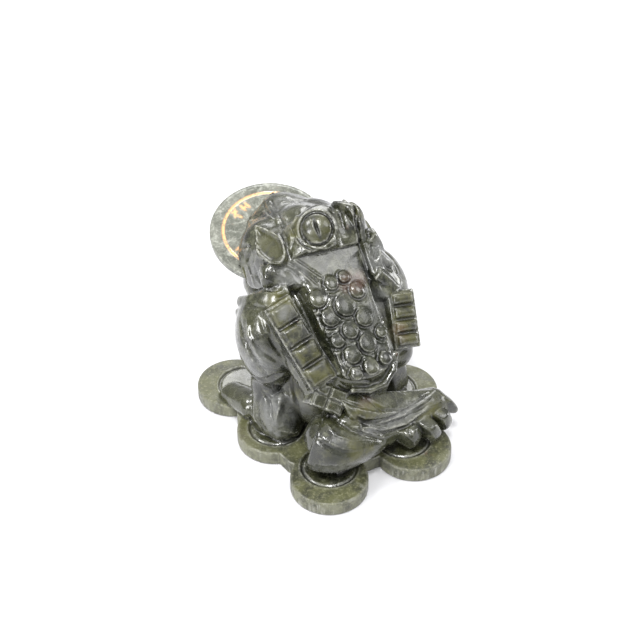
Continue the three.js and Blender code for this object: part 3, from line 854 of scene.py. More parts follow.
def layers():
    """What the carver does in turn, with the softness inside a group and towards the rest."""
    return [
        ("add", torso(), 4.0, 1.2), ("add", head(), 4.0, 1.2), ("add", front_legs(), 3.0, 1.0),
        ("add", hind_leg(), 3.0, 1.2),
        ("add", [lips()] + brow() + neck_sides() + locks() + collar(), 0.4, 0.5),
        ("add", [shield(), right_wall(), groove_floor()] + rim_under_shield() + paws(), 0.5, 0.5),
        ("add", [knee()] + thigh_folds() + toes(), 0.4, 0.4),
        ("cut", cuts(), 0.3, 0.4),
        ("add", eye(1) + eye(-1) + [ear(1), ear(-1)], 0.4, 0.4), ("add", warts(), 0.3, 0.7),
        ("add", coin_string(*STRING_LEFT) + coin_string(*STRING_RIGHT) + tassel(), 0.25, 0.3),
        ("add", bed(), 0.2, 0.4),
        ("cut", last_cuts(), 0.2, 0.3),
    ]


# Strokes of the chisel: half a width, a height (below zero for a groove) and the places on its way

CHISEL_LINES = [
    (0.9, 0.9, [(25.7, 30.5, 18.3), (24.6, 32.5, 18.4), (23.4, 34.3, 18.1), (21.1, 36.4, 16.5),
        (18.1, 38.1, 14.6), (15.3, 38.7, 13.9), (10.9, 38.9, 12.6)]),
    (1.4, -0.9, [(25.9, 31.4, 17.3), (24.7, 34, 16.8), (23, 36.3, 15.7), (20.1, 38, 13.9), (16.8, 39.1, 12.6),
        (13.3, 39.5, 12.1)]),
    (0.6, -0.35, [(24.2, 29.5, 20), (22.2, 33.7, 18.6)]),
    (0.6, -0.35, [(22.8, 29.1, 20.3), (21.9, 31.4, 19.6), (20.8, 33.5, 18.6), (18, 36.6, 16.4)]),
    (0.6, -0.35, [(20.9, 29.2, 20.4), (19.9, 31.5, 19.6), (18.8, 33.5, 18.5), (17.1, 35.2, 17.2)]),
    (0.6, -0.35, [(18.9, 29.3, 20.3), (17.8, 31.4, 19.4), (16.7, 33.3, 18.2), (14.8, 35.1, 16.8)]),
    (1, 0.7, [(10.3, -8.1, 69.9), (7.8, -12.8, 72), (4.1, -15.4, 72.8), (-3.2, -23.1, 70),
        (-7.6, -24.1, 69.2)]),
    (1, 0.6, [(-4.1, -23.2, 70), (-11.8, -29.4, 65.4)]),
    (1, 0.6, [(-7.1, -13.2, 74.9), (-8, -10.2, 72.9)]),
    (1, -0.8, [(1.5, -31.6, 65.2), (5.8, -21.3, 67.2), (10.2, -12.1, 69.8), (11.5, -8.2, 68.3)]),
    (1, 0.5, [(0.3, -30.8, 66), (4.5, -20.4, 68), (9.3, -10.9, 71.2), (10.4, -7.3, 69.6)]),
    (0.8, -0.5, [(5, -29.3, 64.9), (8.7, -19.1, 67.9), (11, -13.4, 68.7), (12.1, -9.8, 67.9)]),
    (1, 0.6, [(9.1, -4.4, 65.9), (6.7, -1.8, 68.8), (3.8, -0.8, 68.9), (0.4, -0.4, 68.5), (-4.9, -1.7, 66),
        (-9.9, -2.4, 64)]),
    (1.1, 0.6, [(10.7, -6.8, 68.8), (7.5, -4.4, 69.7), (4.9, -2.2, 71), (1.8, -0.7, 71.7), (-1.5, 0, 71.3),
        (-7.2, -2.8, 67.9), (-10.5, -2.1, 67.6)]),
    (0.9, -0.8, [(-10, -11.3, 74.9), (-9.1, -7.5, 72.8), (-8.3, -3.8, 69.5)]),
    (0.9, 0.5, [(-10.6, -9.7, 76), (-10.5, -7.1, 73.4), (-9.5, -3.7, 69.9)]),
    (1.1, -1, [(-2.8, -43.9, 62.4), (-1, -38.5, 63.8), (0.4, -33.9, 64.8)]),
    (1.1, -1, [(7.2, -46.7, 50.9), (4.5, -49.3, 52.2), (5.4, -41.3, 59.2), (3.3, -39.1, 61.5)]),
    (1, 0.6, [(2.4, -40.6, 61.4), (3.5, -35.2, 63), (4.8, -28.9, 65)]),
    (1, -0.8, [(16.6, -33.2, 55.1), (16.4, -26.2, 60.2), (14.8, -25.5, 60.9)]),
    (1.2, -1.1, [(17, -26.1, 60.3), (18, -25.4, 57.6), (18.4, -26.2, 53.6)]),
    (1, -0.7, [(-7.2, -41, 64.1), (-6.9, -36.4, 65), (-12.2, -35.3, 63.7)]),
    (1, 0.6, [(-2.2, -37, 64.7), (-4.3, -36.3, 65.1), (-6.7, -34.6, 65.2), (-9.5, -33.7, 64.7)]),
    (1, -0.7, [(-1.6, -47.2, 60.1), (1.1, -41.4, 61.7), (3.2, -33.7, 63.8)]),
    (1, 0.6, [(16.2, -23.1, 60.4), (18, -16, 61.5), (21, -6.4, 63.5)]),
    (1, -0.8, [(17.5, -17, 62), (20, -8.8, 64.1), (19.8, -5, 62.9)]),
    (1, -0.8, [(19.3, -21.1, 57.6), (19.6, -18.8, 56), (19.1, -18, 53), (20.2, -12.7, 52.3)]),
    (1, 0.5, [(18.5, -25.2, 53.5), (19.6, -20.1, 51.1), (19.6, -18.1, 48.4)]),
    (0.9, -0.7, [(19.4, -17.9, 58.3), (23, -7.6, 61.1), (22.1, -4.8, 59.1)]),
    (0.9, -0.6, [(21.5, -5.6, 62.5), (20, -3.6, 60.7), (18, -0.5, 59.7)]),
    (1, -0.8, [(18.9, -28.7, 51.5), (19.2, -26.3, 49.3), (19.6, -23.8, 47)]),
    (0.9, 0.5, [(20.4, -6, 63.5), (18.5, -4, 62.4), (16.4, -1.8, 60.8)]),
    (1.2, -1.2, [(23.5, -4.6, 57.1), (20.8, -1.2, 58.6), (17, 0.2, 58.3)]),
    (0.7, -0.35, [(17.6, -5, 65.7), (14, -2.9, 62.9), (12.6, -0.9, 61), (11.3, 1.5, 59.5),
        (10.3, 3.8, 57.2)]),
    (0.7, 0.3, [(16.6, -4.4, 66.7), (12.5, -2.9, 63.1), (11.1, -0.6, 61.4), (9.8, 1.6, 59.8),
        (8.7, 3.7, 57.7)]),
    (0.7, -0.35, [(14.7, -5.6, 65.7), (12.7, -3.7, 63.9), (11, -1.5, 62.5), (9.5, 0.5, 60.7), (8, 2.7, 58.9),
        (6.8, 4.5, 57)]),
    (0.7, 0.3, [(12.5, -5.3, 65.4), (11.1, -3.2, 64.2), (9.4, -1.5, 62.7), (7.7, 0.3, 61), (6.1, 2.1, 59.4),
        (3.4, 4.2, 57.1)]),
    (0.7, -0.3, [(11.3, -4.7, 65.7), (9.4, -2.7, 63.8), (7.5, -0.7, 62), (5.8, 1, 60.3), (4.2, 2.9, 58.7)]),
    (0.7, -0.3, [(14.2, -2.8, 61.4), (13.3, -0.4, 60.4), (11.5, 3, 58)]),
    (0.7, 0.3, [(15.9, -3.7, 63.2), (13.9, -1.9, 61), (12.5, 0.9, 58.8)]),
    (1, -0.8, [(-15, -1.5, 69.1), (-17.1, -1.6, 65.8), (-16.6, 0.7, 63.1), (-14.6, 2.8, 60.9)]),
    (1, -0.9, [(-17.5, 3.7, 61.2), (-18.9, 5.6, 57.5), (-20.8, 6.8, 54.5)]),
    (1.2, -1, [(-23.3, 4.8, 55.3), (-24, 7.1, 52.1), (-30.4, 2.9, 44.3)]),
    (0.8, -0.7, [(-13.8, -4.5, 75.3), (-13.3, -2.4, 72.5)]),
    (1, -0.8, [(8.3, -11.9, 71.9), (9.1, -8.6, 71.6), (11.4, -7.1, 68)]),
    (1.5, -0.8, [(32, -7.1, 46.6), (33, -4.8, 44.2), (33.6, -3.2, 41.2), (33.4, -0.7, 39.2), (33, 1.4, 36.7),
        (32, 3.4, 35.3), (30.9, 5.1, 33.4)]),
    (1.3, -0.7, [(32.1, 1.3, 42.6), (30.7, 4.5, 39.8), (28.7, 6.8, 38.1), (26.1, 8.3, 35.5)]),
    (1.2, -0.6, [(27.1, 3.2, 48.5), (27.3, 4.8, 45.8), (27.3, 6.2, 42.9), (25.9, 7.8, 39.7),
        (24.7, 9.6, 36.7)]),
    (1.2, 0.5, [(30.9, -4.2, 49), (31.7, -2.3, 46.8), (32.3, -0.7, 44.3), (32.1, 1.7, 41.9),
        (31.6, 3.6, 39.1)]),
    (1, -0.5, [(28.4, -0.3, 50.5), (28.7, 2.9, 47.1), (27.9, 5.1, 44.4), (26.9, 6.9, 41.3)]),
    (1, -0.6, [(29.9, -7.4, 50.4), (28.3, -4.8, 52.3), (26.4, 0.9, 54.3)]),
    (1.6, -1.2, [(31.5, -1.1, 25.2), (29.9, 3.8, 26), (27.8, 7.1, 29.1), (24.6, 8.5, 30.4)]),
    (1.2, -0.8, [(21.8, 7.5, 26.8), (21.4, 7.9, 22.9), (21.5, 9, 19.6), (20.9, 10.2, 16.3),
        (19.9, 10.8, 12.4)]),
    (1.2, -0.7, [(23.2, 14.8, 30.4), (20.1, 11.3, 22.7), (19.8, 12.1, 19.6), (17.7, 14.6, 16.3)]),
    (1, -0.6, [(29.2, 0.8, 19.9), (28.5, 2.5, 16.6), (28.3, 5.1, 14.2), (28.7, 7, 9.6)]),
    (1, 0.8, [(21.3, 25.9, 25.7), (20.4, 28, 20.7), (20, 31, 19.7), (19.2, 33.7, 18.4), (16.7, 35.3, 17.1),
        (14, 36.8, 15.6), (10.2, 37, 14.3), (6.1, 37, 12.7), (1.9, 36.9, 10.9)]),
    (1.4, -1.3, [(12.7, 30.6, 24), (10.8, 32.6, 21.7), (7.8, 33, 17.7), (4.8, 34.7, 17), (1.3, 35.7, 15.4),
        (-3.5, 35.7, 14.6), (-8.2, 35.7, 13.8), (-12.4, 35, 14.1), (-16.9, 33.9, 14), (-21.3, 33, 14.2)]),
    (1.2, -1, [(10.1, 33.7, 16.8), (8, 35.6, 16.4), (4.9, 36.1, 14.3), (1.8, 36.6, 12.2), (-2.8, 36.7, 11.5),
        (-7.6, 36.8, 10.8), (-11, 36.5, 11.2), (-14.1, 36.7, 12.1), (-17.9, 35.9, 12), (-21.6, 35.4, 12.2)]),
    (1.1, -0.8, [(4.5, 27.9, 24), (2.2, 30.7, 21.8), (-0.5, 33, 19.2), (-4.8, 33.6, 17.5), (-9.2, 34.2, 15.8),
        (-12.9, 33.4, 15.9), (-16.7, 32.5, 15.7), (-20.8, 31.3, 15.3), (-25.3, 29.6, 14.4)]),
    (1.1, 0.7, [(10.9, 29.2, 25.1), (8.4, 31.6, 22.6), (5.1, 32.6, 20.9), (1.7, 33.5, 19.1), (-2.4, 33.7, 18),
        (-6.6, 33.9, 16.9)]),
    (1, 0.6, [(6.5, 33.8, 17.1), (3.5, 35.6, 16), (-0.3, 36.3, 13.5), (-4.5, 36.3, 12.7), (-8.8, 36.4, 11.9),
        (-12.6, 35.9, 12.6), (-16.6, 35.2, 13.1), (-21, 34.2, 13.1)]),
    (0.9, -0.6, [(-10.6, 27.5, 19.2), (-12.5, 29.5, 18.5)]),
    (1, -0.7, [(13.7, 26.6, 27.4), (10.9, 29.2, 25.1), (6.8, 31.3, 22.5)]),
    (1, -0.8, [(-8.6, 36.7, 10.7), (-7, 40.3, 10.1), (-7.2, 42.1, 8.3)]),
    (1, -0.8, [(-13.3, 38, 12.5), (-12.8, 40.9, 9.8), (-12.1, 41.5, 5.2)]),
    (1, -0.8, [(6.6, 28.1, 33.2), (1.4, 28.5, 29.5), (-1.8, 28.7, 29.9), (-4.1, 29.8, 31.4)]),
    (0.9, -0.6, [(-5, 28.6, 32.1), (-8, 28.1, 34.3), (-14.9, 22.7, 31.3)]),
    (0.8, -0.6, [(19, 23.7, 31.9), (13.8, 22.6, 31.6), (14, 25.7, 28.9)]),
    (0.8, -0.6, [(17.3, 25.2, 28.2), (13.1, 24.3, 29.5), (9.9, 26.4, 26.5)]),
    (0.8, -0.6, [(11.6, 23.3, 31.1), (8.9, 24.8, 27.8), (8.3, 28.1, 25)]),
    (2.4, 1.1, [(24.2, 7, 25.4), (24, 5.2, 17.5), (25.7, 6.9, 16.1), (26.7, 7.5, 13.4), (27.7, 7.9, 10.7),
        (28.5, 8.2, 7.7)]),
    (1.2, 0.6, [(29.1, 7.7, 6.3), (25.8, 10.3, 5.2), (21.1, 11.5, 2.7)]),
    (1.3, -0.9, [(27.2, 5.3, 24.2), (27.9, 3.5, 16.7), (29, 5.1, 11.9), (28.9, 7.5, 7.9)]),
    (1.3, -0.9, [(21.5, 8, 22.5), (21.4, 9.1, 19.6), (21.1, 9.8, 16.2), (20.1, 10.4, 11.9),
        (18.2, 9.6, 6.1)]),
    (1, -0.6, [(28.9, 1.2, 18.3), (30.3, -0.3, 11.7), (30.8, 0.9, 6.6), (30.6, 5.2, 4.1)]),
    (1, 0.6, [(29.8, -0.1, 17.8), (30.3, -3.1, 9.5), (31.3, -1.2, 5.2), (31.1, 3.3, 2.3)]),
    (1, 0.5, [(31.5, -3.5, 47.7), (32.1, -1.9, 45.6), (32.6, -0.6, 43.2), (32.4, 1.3, 41.3), (32, 2.8, 39.1),
        (31.2, 4.6, 36.9), (30.1, 5.9, 34.2)]),
    (1, -0.7, [(32.9, -4.1, 44.4), (33.3, -1.9, 41.7), (33.4, -0.2, 38.5), (32.8, 1.9, 36.2),
        (31.9, 3.6, 33.4), (30.5, 5.2, 31.2), (28.8, 6.1, 28.3)]),
    (1, 0.7, [(24.3, 31.4, 19.3), (23, 35, 17.7), (19.7, 37.3, 15.5), (15.4, 38.9, 13.6),
        (10.4, 39.4, 11.4)]),
    (1.2, -1, [(18.1, 28.1, 24.5), (15.2, 29.3, 18.9), (12.9, 33.3, 17.2), (10.6, 34.8, 15.8),
        (8.2, 36.2, 14.2), (5.1, 36.9, 12.3), (2, 37.6, 10.3)]),
    (1, 0.5, [(29, 31.2, 8.9), (26.2, 35, 8.6), (24.3, 37, 9.2), (22.1, 38.6, 9.3), (17.3, 39.9, 9.7),
        (11.7, 40.2, 9.4)]),
    (0.6, -0.25, [(21.4, 25.1, 17.8), (22.3, 31.4, 19.6), (20.6, 35, 17.8)]),
    (0.6, -0.25, [(20.9, 26.8, 20.8), (20.1, 31.2, 19.7), (18.2, 35, 17.5)]),
    (0.6, -0.25, [(18.5, 26.3, 20.5), (17.7, 31.3, 19.4), (16.6, 33.2, 18.3), (15.3, 35, 16.9)]),
    (0.7, -0.6, [(13, 31.6, 18.2), (10.6, 32.9, 17.7), (8.2, 34.3, 17.4), (4.8, 34.5, 17), (1.3, 34.6, 16.5),
        (-2.2, 34.4, 16.2), (-5.7, 34.3, 16), (-8.8, 34.1, 16), (-12.1, 33.8, 15.7)]),
]


def stroke_height(points, line, width, height):
    line = np.array(line, float)
    middle = line.mean(axis=0)
    reach = np.linalg.norm(line - middle, axis=1).max() + width
    close = length(points - middle) < reach
    found = np.zeros(len(points))
    if not close.any():
        return found
    local = points[close]
    best = np.zeros(len(local))
    steps = np.linalg.norm(np.diff(line, axis=0), axis=1)
    before = np.concatenate([[0], np.cumsum(steps)])
    for i, (a, b) in enumerate(zip(line[:-1], line[1:])):
        way = b - a
        share = np.clip((local - a) @ way / max(way @ way, 1e-9), 0, 1)
        away = length(local - a - share[:, None] * way)
        along = (before[i] + share * steps[i]) / max(before[-1], 1e-9)
        taper = np.minimum(1, 0.25 + 3.2 * np.minimum(along, 1 - along))
        best = np.maximum(best, np.clip(1 - away / (width * (0.6 + 0.4 * taper)), 0, 1) * taper)
    found[close] = height * best ** (1.0 if height < 0 else 1.4)
    return found


def unevenness(points, size):
    """Soft hand-made dents of about one size, from -1 to 1."""
    return np.array([mathutils.noise.noise(Vector(p)) for p in points / size])


def ring_height(points, matrix, radius, width, height, reach=3.0):
    local = to_local(matrix, points)
    off = np.abs(np.hypot(local[:, 0], local[:, 1]) - radius)
    rise = np.clip(1 - off / width, 0, 1) * (np.abs(local[:, 2]) < reach)
    return height * rise * rise * (3 - 2 * rise)


def relief(points):
    """How far rings, grooves, chisel strokes and uneven hand work raise or lower each place."""
    rise = np.zeros(len(points))
    for x, y in ring_middles():
        for ring in BED_RINGS:
            rise += ring_height(points, Matrix.Translation((x, y, 0)), *ring)
    for side, size in EYE_SIZES.items():
        rise += ring_height(points, eye_frame(side), 5.45 * size, 0.7, -0.7)
    for turn, size in wart_frames():
        local = to_local(turn, points)
        lean = (local[:, 1] - 0.6 * local[:, 0]) / np.maximum(length(local), 0.1)
        groove = ring_height(points, turn, size * 1.05 + 0.2, 0.75, -0.85, 2.0)
        bank = ring_height(points, turn, size * 1.2 + 0.9, 0.7, 0.22, 2.0)
        rise += groove * np.clip(0.6 + 0.5 * lean, 0, 1)
        rise += bank * np.clip(0.3 + 0.7 * lean, 0, 1)
    for width, height, line in CHISEL_LINES:
        rise += stroke_height(points, line, width, height)
    carved_part = np.clip((points[:, 2] + 0.5) / 2, 0.25, 1)
    return rise + carved_part * (0.10 * unevenness(points, 5.5) + 0.035 * unevenness(points, 2.0))


# Meshes

def vectors(items, name):
    flat = np.empty(len(items) * 3, np.float32)
    items.foreach_get(name, flat)
    return flat.reshape(-1, 3).astype(float)


def coordinates(mesh):
    return vectors(mesh.vertices, "co")


def normals(mesh):
    return vectors(mesh.vertex_normals, "vector")


def put_coordinates(mesh, points):
    mesh.vertices.foreach_set("co", points.astype(np.float32).ravel())
    mesh.update()


def modified(mesh, kind, **settings):
    """The mesh with one modifier applied."""
    obj = bpy.data.objects.new("work", mesh)
    bpy.context.scene.collection.objects.link(obj)
    modifier = obj.modifiers.new("work", kind)
    for name, value in settings.items():
        setattr(modifier, name, value)
    bpy.context.view_layer.update()
    evaluated = obj.evaluated_get(bpy.context.evaluated_depsgraph_get())
    made = bpy.data.meshes.new_from_object(evaluated)
    bpy.data.objects.remove(obj)
    return made


def opened(mesh):
    bm = bmesh.new()
    bm.from_mesh(mesh)
    return bm


def closed(bm, mesh):
    bm.to_mesh(mesh)
    bm.free()
    return mesh


def new_mesh(bm, name):
    return closed(bm, bpy.data.meshes.new(name))


def blank(forms):
    bm = bmesh.new()
    for form in forms:
        form.add(bm)
    bmesh.ops.recalc_face_normals(bm, faces=bm.faces)
    return new_mesh(bm, "blank")


def joined(mesh, other):
    bm = opened(mesh)
    bm.from_mesh(other)
    return new_mesh(bm, "joined")


def cut_from(mesh, form):
    tool = bpy.data.objects.new("tool", blank([form]))
    bpy.context.scene.collection.objects.link(tool)
    made = modified(mesh, "BOOLEAN", operation="DIFFERENCE", solver="MANIFOLD", object=tool)
    bpy.data.objects.remove(tool)
    return made


def carved(steps, coarse, fine):
    """The mesh of a carving: each layer is joined or cut, then the surface is drawn onto its distance."""
    mesh = None
    for kind, forms, _, _ in steps:
        if kind == "add":
            mesh = joined(mesh, blank(forms)) if mesh else blank(forms)
        else:
            mesh = modified(mesh, "REMESH", mode="VOXEL", voxel_size=coarse)
            for form in forms:
                mesh = cut_from(mesh, form)
    for size, most in ((coarse, 1.0), (fine, 0.6)):
        mesh = modified(mesh, "REMESH", mode="VOXEL", voxel_size=size)
        for _ in range(2):
            points = coordinates(mesh)
            off = whole_distance(steps, points)
            put_coordinates(mesh, points - normals(mesh) * np.clip(off, -most, most)[:, None])
    return largest_shell(mesh)


def largest_shell(mesh):
    """The mesh without the crumbs and closed pockets that joining many forms leaves behind."""
    bm = opened(mesh)
    left = set(bm.verts)
    shells = []
    while left:
        shell = [left.pop()]
        for vert in shell:
            for other in (edge.other_vert(vert) for edge in vert.link_edges):
                if other in left:
                    left.discard(other)
                    shell.append(other)
        shells.append(shell)
    shells.sort(key=len)
    for shell in shells[:-1]:
        bmesh.ops.delete(bm, geom=shell, context="VERTS")
    return closed(bm, mesh)


def smoothed(mesh, factor):
    """The mesh with each place moved a little towards the middle of its neighbours."""
    bm = opened(mesh)
    bmesh.ops.smooth_vert(
        bm, verts=bm.verts, factor=factor, use_axis_x=True, use_axis_y=True, use_axis_z=True
    )
    return closed(bm, mesh)


def put_mask(mesh, name, values):
    layer = mesh.attributes.new(name, "FLOAT", "POINT")
    layer.data.foreach_set("value", np.clip(values, 0, 1).astype(np.float32))


def curvature(mesh, rounds):
    """How far each place stands out from its neighbours, softened a few times."""
    points, facing = coordinates(mesh), normals(mesh)
    ends = np.empty(len(mesh.edges) * 2, np.int32)
    mesh.edges.foreach_get("vertices", ends)
    a, b = ends.reshape(-1, 2).T
    count = np.bincount(a, minlength=len(points)) + np.bincount(b, minlength=len(points))

    def around(values):
        total = np.zeros_like(values)
        for column in range(values.shape[1]):
            total[:, column] += np.bincount(a, values[b, column], len(points))
            total[:, column] += np.bincount(b, values[a, column], len(points))
        return total / np.maximum(count, 1)[:, None]

    spread = points
    for _ in range(rounds):
        spread = around(spread)
    return np.einsum("ij,ij->i", points - spread, facing)


def put_masks(mesh):
    """Masks for the material: painted highlight on ridges and sharp edges, partly wear; painted shade in
    creases and pupil slits; the bed's sides, painted lighter for light shining through them; yellow-green
    stone; patches of painted sheen; patches of painted shade, partly darker stone; rust; and the bed's olive
    margins, darker inside the rings as painted shade.
    """
    points, out = coordinates(mesh), curvature(mesh, 3)
    slit = np.minimum(near_distance(pupil(1), points, 2.0), near_distance(pupil(-1), points, 2.0))
    upward = normals(mesh)[:, 2]
    masks = {
        # Painted highlight, partly wear: ridges are made lighter in colour.
        "ridge": (out - 0.10) / 0.30,
        # Painted shade: creases and the eyes' pupil slits are coloured near black.
        "hollow": np.maximum((-out - 0.07) / 0.25, 1.2 - slit / 0.4),
        # The bed's sides: painted lighter, for light shining through the thin stone; they are also duller.
        "wall": (points[:, 2] < -0.3) * (np.abs(upward) < 0.6) * 1.0,
        "moss": moss_on(points),
        # Painted sheen: grey patches for reflections of the bright surroundings.
        "pale": patches_on(points, PAINTED_SHEEN_PATCHES),
        # Painted shade, partly darker stone: darker, less glossy patches.
        "dark": patches_on(points, PAINTED_SHADE_PATCHES),
        "rust": patches_on(points, RUST_PATCHES),
        # The bed's olive margins; inside the rings, nearer the toad, the top stays darker as painted shade.
        "bed": margin_on(points) * (points[:, 2] < 0.8) * (upward > 0.5),
        # Painted highlight, partly wear: thin bright lines along sharp edges.
        "edge": (curvature(mesh, 1) - 0.05) / 0.08,
    }
    for name, values in masks.items():
        put_mask(mesh, name, values)


def finished(name, mesh, material, node):
    """The carving as a piece: in metres, standing on the ground, smooth and with its material."""
    mesh.transform(Matrix.Scale(MM, 4) @ Matrix.Translation((0, 0, BED)))
    for polygon in mesh.polygons:
        polygon.use_smooth = True
    obj = bpy.data.objects.new(name, mesh)
    bpy.context.scene.collection.objects.link(obj)
    mesh.materials.clear()
    mesh.materials.append(material)
    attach(obj, "root")
    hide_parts(node)


# Materials

STONE_IOR = 1.6


def add_node(tree, kind, values=None, **settings):
    node = tree.nodes.new(kind)
    for name, value in settings.items():
        setattr(node, name, value)
    for name, value in (values or {}).items():
        if isinstance(value, bpy.types.NodeSocket):
            tree.links.new(value, node.inputs[name])
        else:
            node.inputs[name].default_value = value
    return node


def ramp(tree, value, stops, interpolation="EASE"):
    """Shades of grey along a value: each stop is a place and a level."""
    node = add_node(tree, "ShaderNodeValToRGB", {"Fac": value})
    band = node.color_ramp
    band.interpolation = interpolation
    while len(band.elements) < len(stops):
        band.elements.new(0.5)
    for element, (place, level) in zip(band.elements, stops):
        element.position = place
        element.color = (level, level, level, 1)
    return node.outputs["Color"]


def maths(tree, operation, *values):
    return add_node(tree, "ShaderNodeMath", dict(enumerate(values)), operation=operation).outputs[0]


def times(tree, *values):
    return maths(tree, "MULTIPLY", *values)


def plus(tree, *values):
    return maths(tree, "ADD", *values)


def mixed(tree, share, a, b):
    values = {0: share}
    for index, colour in ((6, a), (7, b)):
        values[index] = colour if isinstance(colour, bpy.types.NodeSocket) else (*colour, 1)
    return add_node(tree, "ShaderNodeMix", values, data_type="RGBA").outputs[2]


def noise(tree, place, scale, detail=4.0, rough=0.6, bend=0.0):
    node = add_node(
        tree, "ShaderNodeTexNoise",
        {"Vector": place, "Scale": scale, "Detail": detail, "Roughness": rough, "Distortion": bend},
    )
    return node.outputs["Fac"]


def new_group(name, inputs, outputs):
    tree = bpy.data.node_groups.new(name, "ShaderNodeTree")
    for label, kind, value in inputs:
        socket = tree.interface.new_socket(name=label, in_out="INPUT", socket_type=kind)
        if value is not None:
            socket.default_value = value
    for label, kind in outputs:
        tree.interface.new_socket(name=label, in_out="OUTPUT", socket_type=kind)
    return tree, tree.nodes.new("NodeGroupInput").outputs, tree.nodes.new("NodeGroupOutput").inputs


def mottle_group():
    """Clouds, veins and grains in polished stone."""
    tree, given, out = new_group("stone_mottle", [
        ("Vector", "NodeSocketVector", None), ("Dark", "NodeSocketColor", (0, 0, 0, 1)),
        ("Middle", "NodeSocketColor", (0.1, 0.1, 0.1, 1)), ("Light", "NodeSocketColor", (0.2, 0.2, 0.2, 1)),
        ("Rust", "NodeSocketColor", (0.1, 0.03, 0.01, 1)), ("Scale", "NodeSocketFloat", 50.0),
        ("Grains", "NodeSocketFloat", 0.5),
    ], [("Color", "NodeSocketColor"), ("Cloud", "NodeSocketFloat")])
    place, scale = given["Vector"], given["Scale"]
    cloud = noise(tree, place, scale, 5.0, 0.62, 0.7)
    patch = noise(tree, place, times(tree, scale, 4.3), 6.0, 0.66, 0.4)
    grain = noise(tree, place, times(tree, scale, 30.0), 3.0, 0.7)
    both = plus(tree, times(tree, cloud, 0.55), times(tree, patch, 0.45))
    shade = ramp(tree, both, [(0.40, 0), (0.60, 1)])
    colour = mixed(tree, shade, given["Dark"], given["Middle"])
    flecks = ramp(tree, patch, [(0.54, 0), (0.66, 1)])
    colour = mixed(tree, times(tree, flecks, 0.55), colour, given["Light"])
    bends = noise(tree, place, times(tree, scale, 1.6), 7.0, 0.55, 1.4)
    vein = maths(tree, "ABSOLUTE", maths(tree, "SUBTRACT", bends, 0.5))
    veins = ramp(tree, vein, [(0.0, 1), (0.022, 0)])
    colour = mixed(tree, times(tree, veins, 0.35), colour, given["Light"])
    fine = ramp(tree, grain, [(0.57, 0), (0.70, 1)])
    colour = mixed(tree, times(tree, fine, given["Grains"]), colour, given["Light"])
    pits = ramp(tree, grain, [(0.30, 1), (0.42, 0)])
    colour = mixed(tree, times(tree, pits, 0.6), colour, given["Dark"])
    shifted = add_node(tree, "ShaderNodeVectorMath", {0: place, 1: (0.31, 0.17, 0.23)}, operation="ADD")
    rust = noise(tree, shifted.outputs[0], times(tree, scale, 2.6), 5.0, 0.65, 0.3)
    spots = ramp(tree, rust, [(0.665, 0), (0.73, 1)])
    colour = mixed(tree, times(tree, spots, 0.75), colour, given["Rust"])
    tree.links.new(colour, out["Color"])
    tree.links.new(both, out["Cloud"])
    return tree


def stretched(tree, place, turn, scale):
    values = {"Vector": place, "Rotation": turn, "Scale": scale}
    return add_node(tree, "ShaderNodeMapping", values).outputs[0]


def tool_group():
    """Marks of the burr and the polishing wheel."""
    tree, given, out = new_group("tool_marks", [
        ("Vector", "NodeSocketVector", None), ("Chips", "NodeSocketFloat", 1.0),
        ("Scratches", "NodeSocketFloat", 1.0),
    ], [("Height", "NodeSocketFloat"), ("Dull", "NodeSocketFloat")])
    place = given["Vector"]
    streak = noise(tree, stretched(tree, place, (0.5, 0.2, 0.7), (1, 0.16, 0.4)), 1500.0, 4.0, 0.6, 0.2)
    cross = noise(tree, stretched(tree, place, (1.1, -0.5, 0.2), (0.2, 1, 0.5)), 1100.0, 3.0, 0.6, 0.2)
    facet = add_node(tree, "ShaderNodeTexVoronoi", {"Vector": place, "Scale": 330.0, "Randomness": 1.0})
    dents = noise(tree, place, 420.0, 3.0, 0.55, 0.6)
    low = plus(tree, dents, times(tree, facet.outputs["Distance"], 0.35))
    low = times(tree, low, given["Chips"])
    zones = ramp(tree, noise(tree, place, 75.0, 2.0, 0.5, 0.5), [(0.40, 0.12), (0.60, 2.0)])
    high = times(tree, plus(tree, streak, cross), given["Scratches"])
    high = times(tree, high, zones)
    tree.links.new(plus(tree, low, times(tree, high, 0.26)), out["Height"])
    dull = ramp(tree, noise(tree, place, 260.0, 4.0, 0.7, 0.5), [(0.35, 0), (0.7, 1)])
    tree.links.new(dull, out["Dull"])
    return tree


def group(name):
    """The shared node group of this name, built the first time that it is used."""
    if name not in bpy.data.node_groups:
        {"stone_mottle": mottle_group, "tool_marks": tool_group}[name]()
    return bpy.data.node_groups[name]


def use_group(tree, name, values):
    return add_node(tree, "ShaderNodeGroup", values, node_tree=group(name)).outputs


def bumped(tree, height, strength, distance):
    node = add_node(tree, "ShaderNodeBump", {"Strength": strength, "Distance": distance, "Height": height})
    return node.outputs["Normal"]


def attribute(tree, name):
    return add_node(tree, "ShaderNodeAttribute", attribute_name=name).outputs["Fac"]


def stone(name, colours, wear, bump_depth):
    """A stone with the shared mottle and tool marks, and what its finish is mixed from."""
    material = bpy.data.materials.new(name)
    material.use_nodes = True
    tree = material.node_tree
    shader = tree.nodes["Principled BSDF"]
    place = add_node(tree, "ShaderNodeTexCoord").outputs["Object"]
    mottle = use_group(tree, "stone_mottle", {"Vector": place, **colours})
    marks = use_group(tree, "tool_marks", {"Vector": place, **wear})
    tree.links.new(bumped(tree, marks["Height"], 1.0, bump_depth), shader.inputs["Normal"])
    shader.inputs["IOR"].default_value = STONE_IOR
    return material, tree, shader, place, mottle, marks


